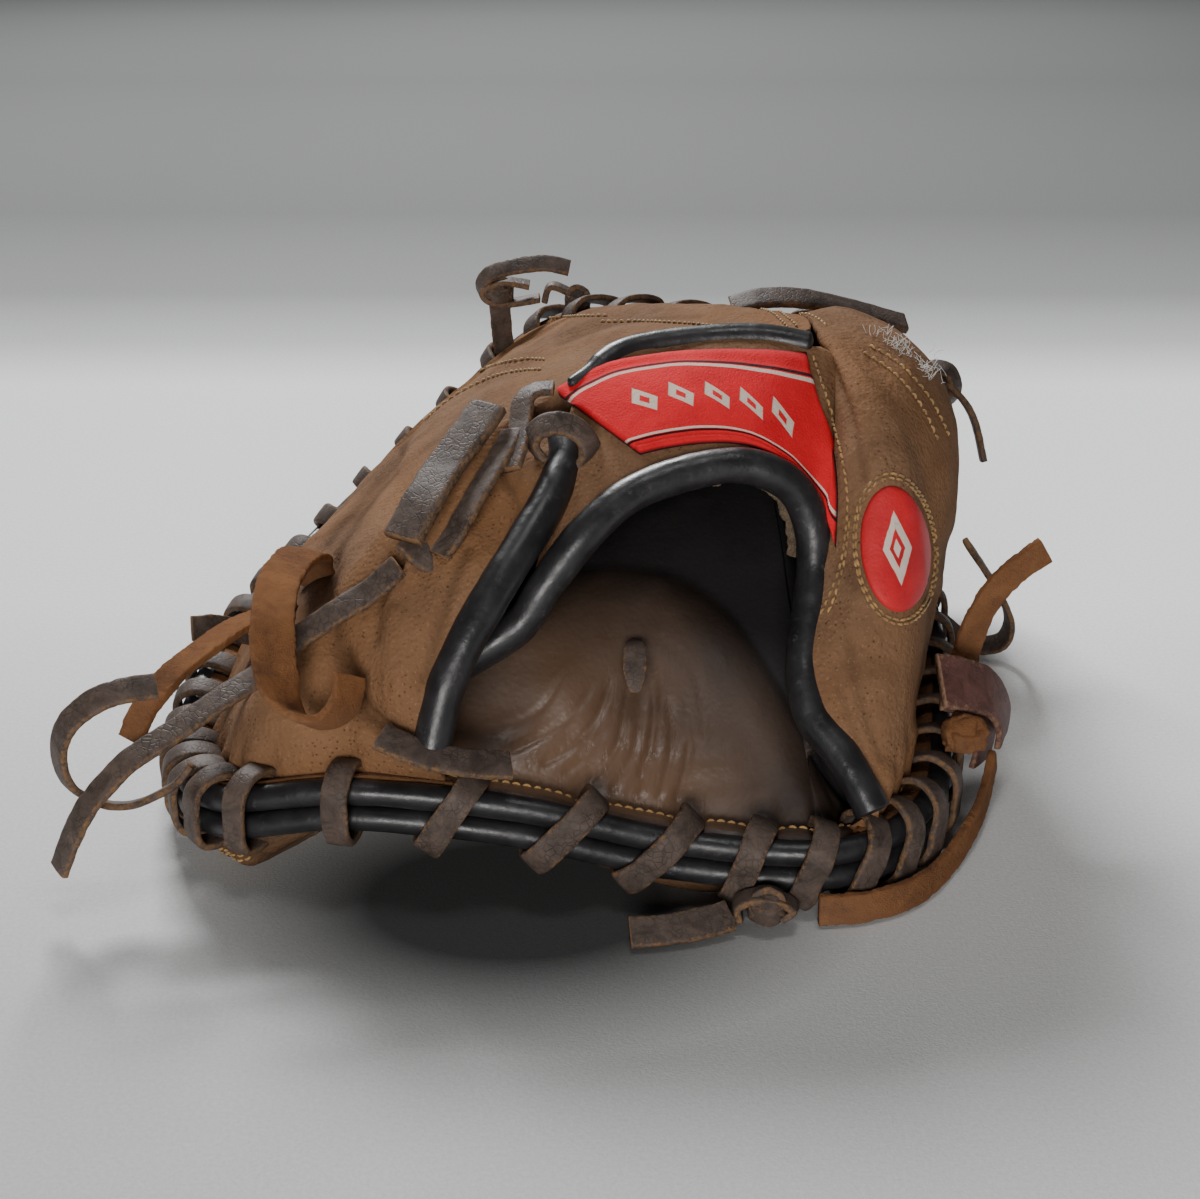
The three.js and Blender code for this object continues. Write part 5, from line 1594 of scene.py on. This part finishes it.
# Its ends on the thumb roll's path, how far it starts behind that path and how far it runs in
RAW_FROM = 3.4
RAW_TO = 9.0
RAW_BEHIND = [0, 3.6, 0]
RAW_DEEP = [0, 2.6, 0]
OPENING_MIDDLE = np.array([34.0, -62.0, 72.0])


def make_raw_edge():
    steps = 150
    path = curve(THUMB_ROLL_PATH, np.linspace(RAW_FROM, RAW_TO, steps + 1))
    inward = OPENING_MIDDLE - path
    inward[:, 1] = 0
    inward = unit(inward)
    reach = 2.2 + 1.1 * rough(path, 5, 901, 4)
    start = path + inward * 3.4 + RAW_BEHIND
    end = start + inward * np.clip(reach, 0.3, 5)[:, None] + RAW_DEEP
    share = np.linspace(0, 1, 8)[None, :, None]
    grid = start[:, None] + (end - start)[:, None] * share
    grid += 0.3 * rough_shift(grid, 3, 905)
    sheet("raw_strap_edge", grid, grid_normals(grid), CLOTH_HALF, CLOTH_HALF, RAW_EDGE, "suede")


# The photograph's pixel, how many hairs, how long they may be
FLUFF = [((902, 352), 60, 5.0), ((925, 372), 70, 5.5), ((890, 345), 30, 4.0), ((880, 338), 16, 7.0)]
HAIR_RADIUS = 0.07


def make_fluff():
    heap = Heap()
    for (x, y), count, reach in FLUFF:
        ray = pixel_ray(x, y)
        found = hit(x, y, ["thumb_back_cover", "upper_roll"])
        middle = found[0] if found else EYE + ray * ((np.array([80, 60, 96.0]) - EYE) @ FORWARD)
        for _ in range(count):
            offset = np.array([random.gauss(0, 2.4) for _ in range(3)])
            lean = unit([random.uniform(-1, 1), random.uniform(-1, 1), random.uniform(-0.2, 1.2)])
            bend = unit([random.uniform(-1, 1), random.uniform(-1, 1), random.uniform(-0.5, 1)])
            size = reach * random.uniform(0.4, 1.0)
            share = np.linspace(0, 1, 6)[:, None]
            path = middle + offset * 0.8 + lean * size * share * 0.6 + bend * size * share**2 * 0.5
            across, square = carried(path, (0.3, 0.2, 0.9))
            points, faces = swept(path, across, square, round_section(HAIR_RADIUS, 4))
            heap.add(points, faces)
    heap.build("lint", LINT, "lace")


# Floor and light

def make_floor():
    size = 3000
    points = [(-size, -size, 0), (size, -size, 0), (size, size, 0), (-size, size, 0)]
    floor = build("floor", points, [(0, 1, 2, 3)], FLOOR, None, smooth=False)


# name, place and aim in metres, size, power, colour
LIGHTS = [
    ("window", (-0.35, 1.08, 0.95), (0, 0, 0.03), (0.5, 0.35), 32, (0.98, 0.99, 1)),
    ("top", (0.1, -0.2, 1.3), (0, 0, 0.05), (0.35, 0.3), 2.6, (1, 1, 1)),
    ("front", (-0.12, -1.08, 0.28), (0, 0, 0.06), (0.5, 0.3), 8.2, (1, 0.985, 0.96)),
]
WORLD_COLOUR = (0.95, 0.97, 1, 1)
WORLD_STRENGTH = 0.06


def add_light(name, place, aim, size, power, colour):
    data = bpy.data.lights.new(name, "AREA")
    data.shape = "RECTANGLE"
    data.size, data.size_y = size
    data.energy = power
    data.color = colour
    light = bpy.data.objects.new(name, data)
    light.location = place
    light.rotation_euler = (Vector(aim) - Vector(place)).to_track_quat("-Z", "Y").to_euler()
    bpy.context.scene.collection.objects.link(light)


def make_world():
    world = bpy.data.worlds.new("world")
    world.use_nodes = True
    background = world.node_tree.nodes["Background"]
    background.inputs["Color"].default_value = WORLD_COLOUR
    background.inputs["Strength"].default_value = WORLD_STRENGTH
    bpy.context.scene.world = world


# Build order: the surfaces first, then what lies on them

make_pad()
make_lining()
finger_grid, finger_normals = make_back(*FINGER_BACK)
make_back(*THUMB_BACK)
make_finger_lining(finger_grid, finger_normals)
make_strap()
make_rolls()
for row in RIM_LACES:
    make_rim_lace(*row)
make_web()
for k, row in enumerate(FREE):
    make_free(*row, 600 + 7 * k)
for row in KNOTS:
    make_knot(*row)
make_label()
make_patch()
make_stitches()
make_hems()
make_raw_edge()
make_fluff()
make_floor()
for row in LIGHTS:
    add_light(*row)
make_world()
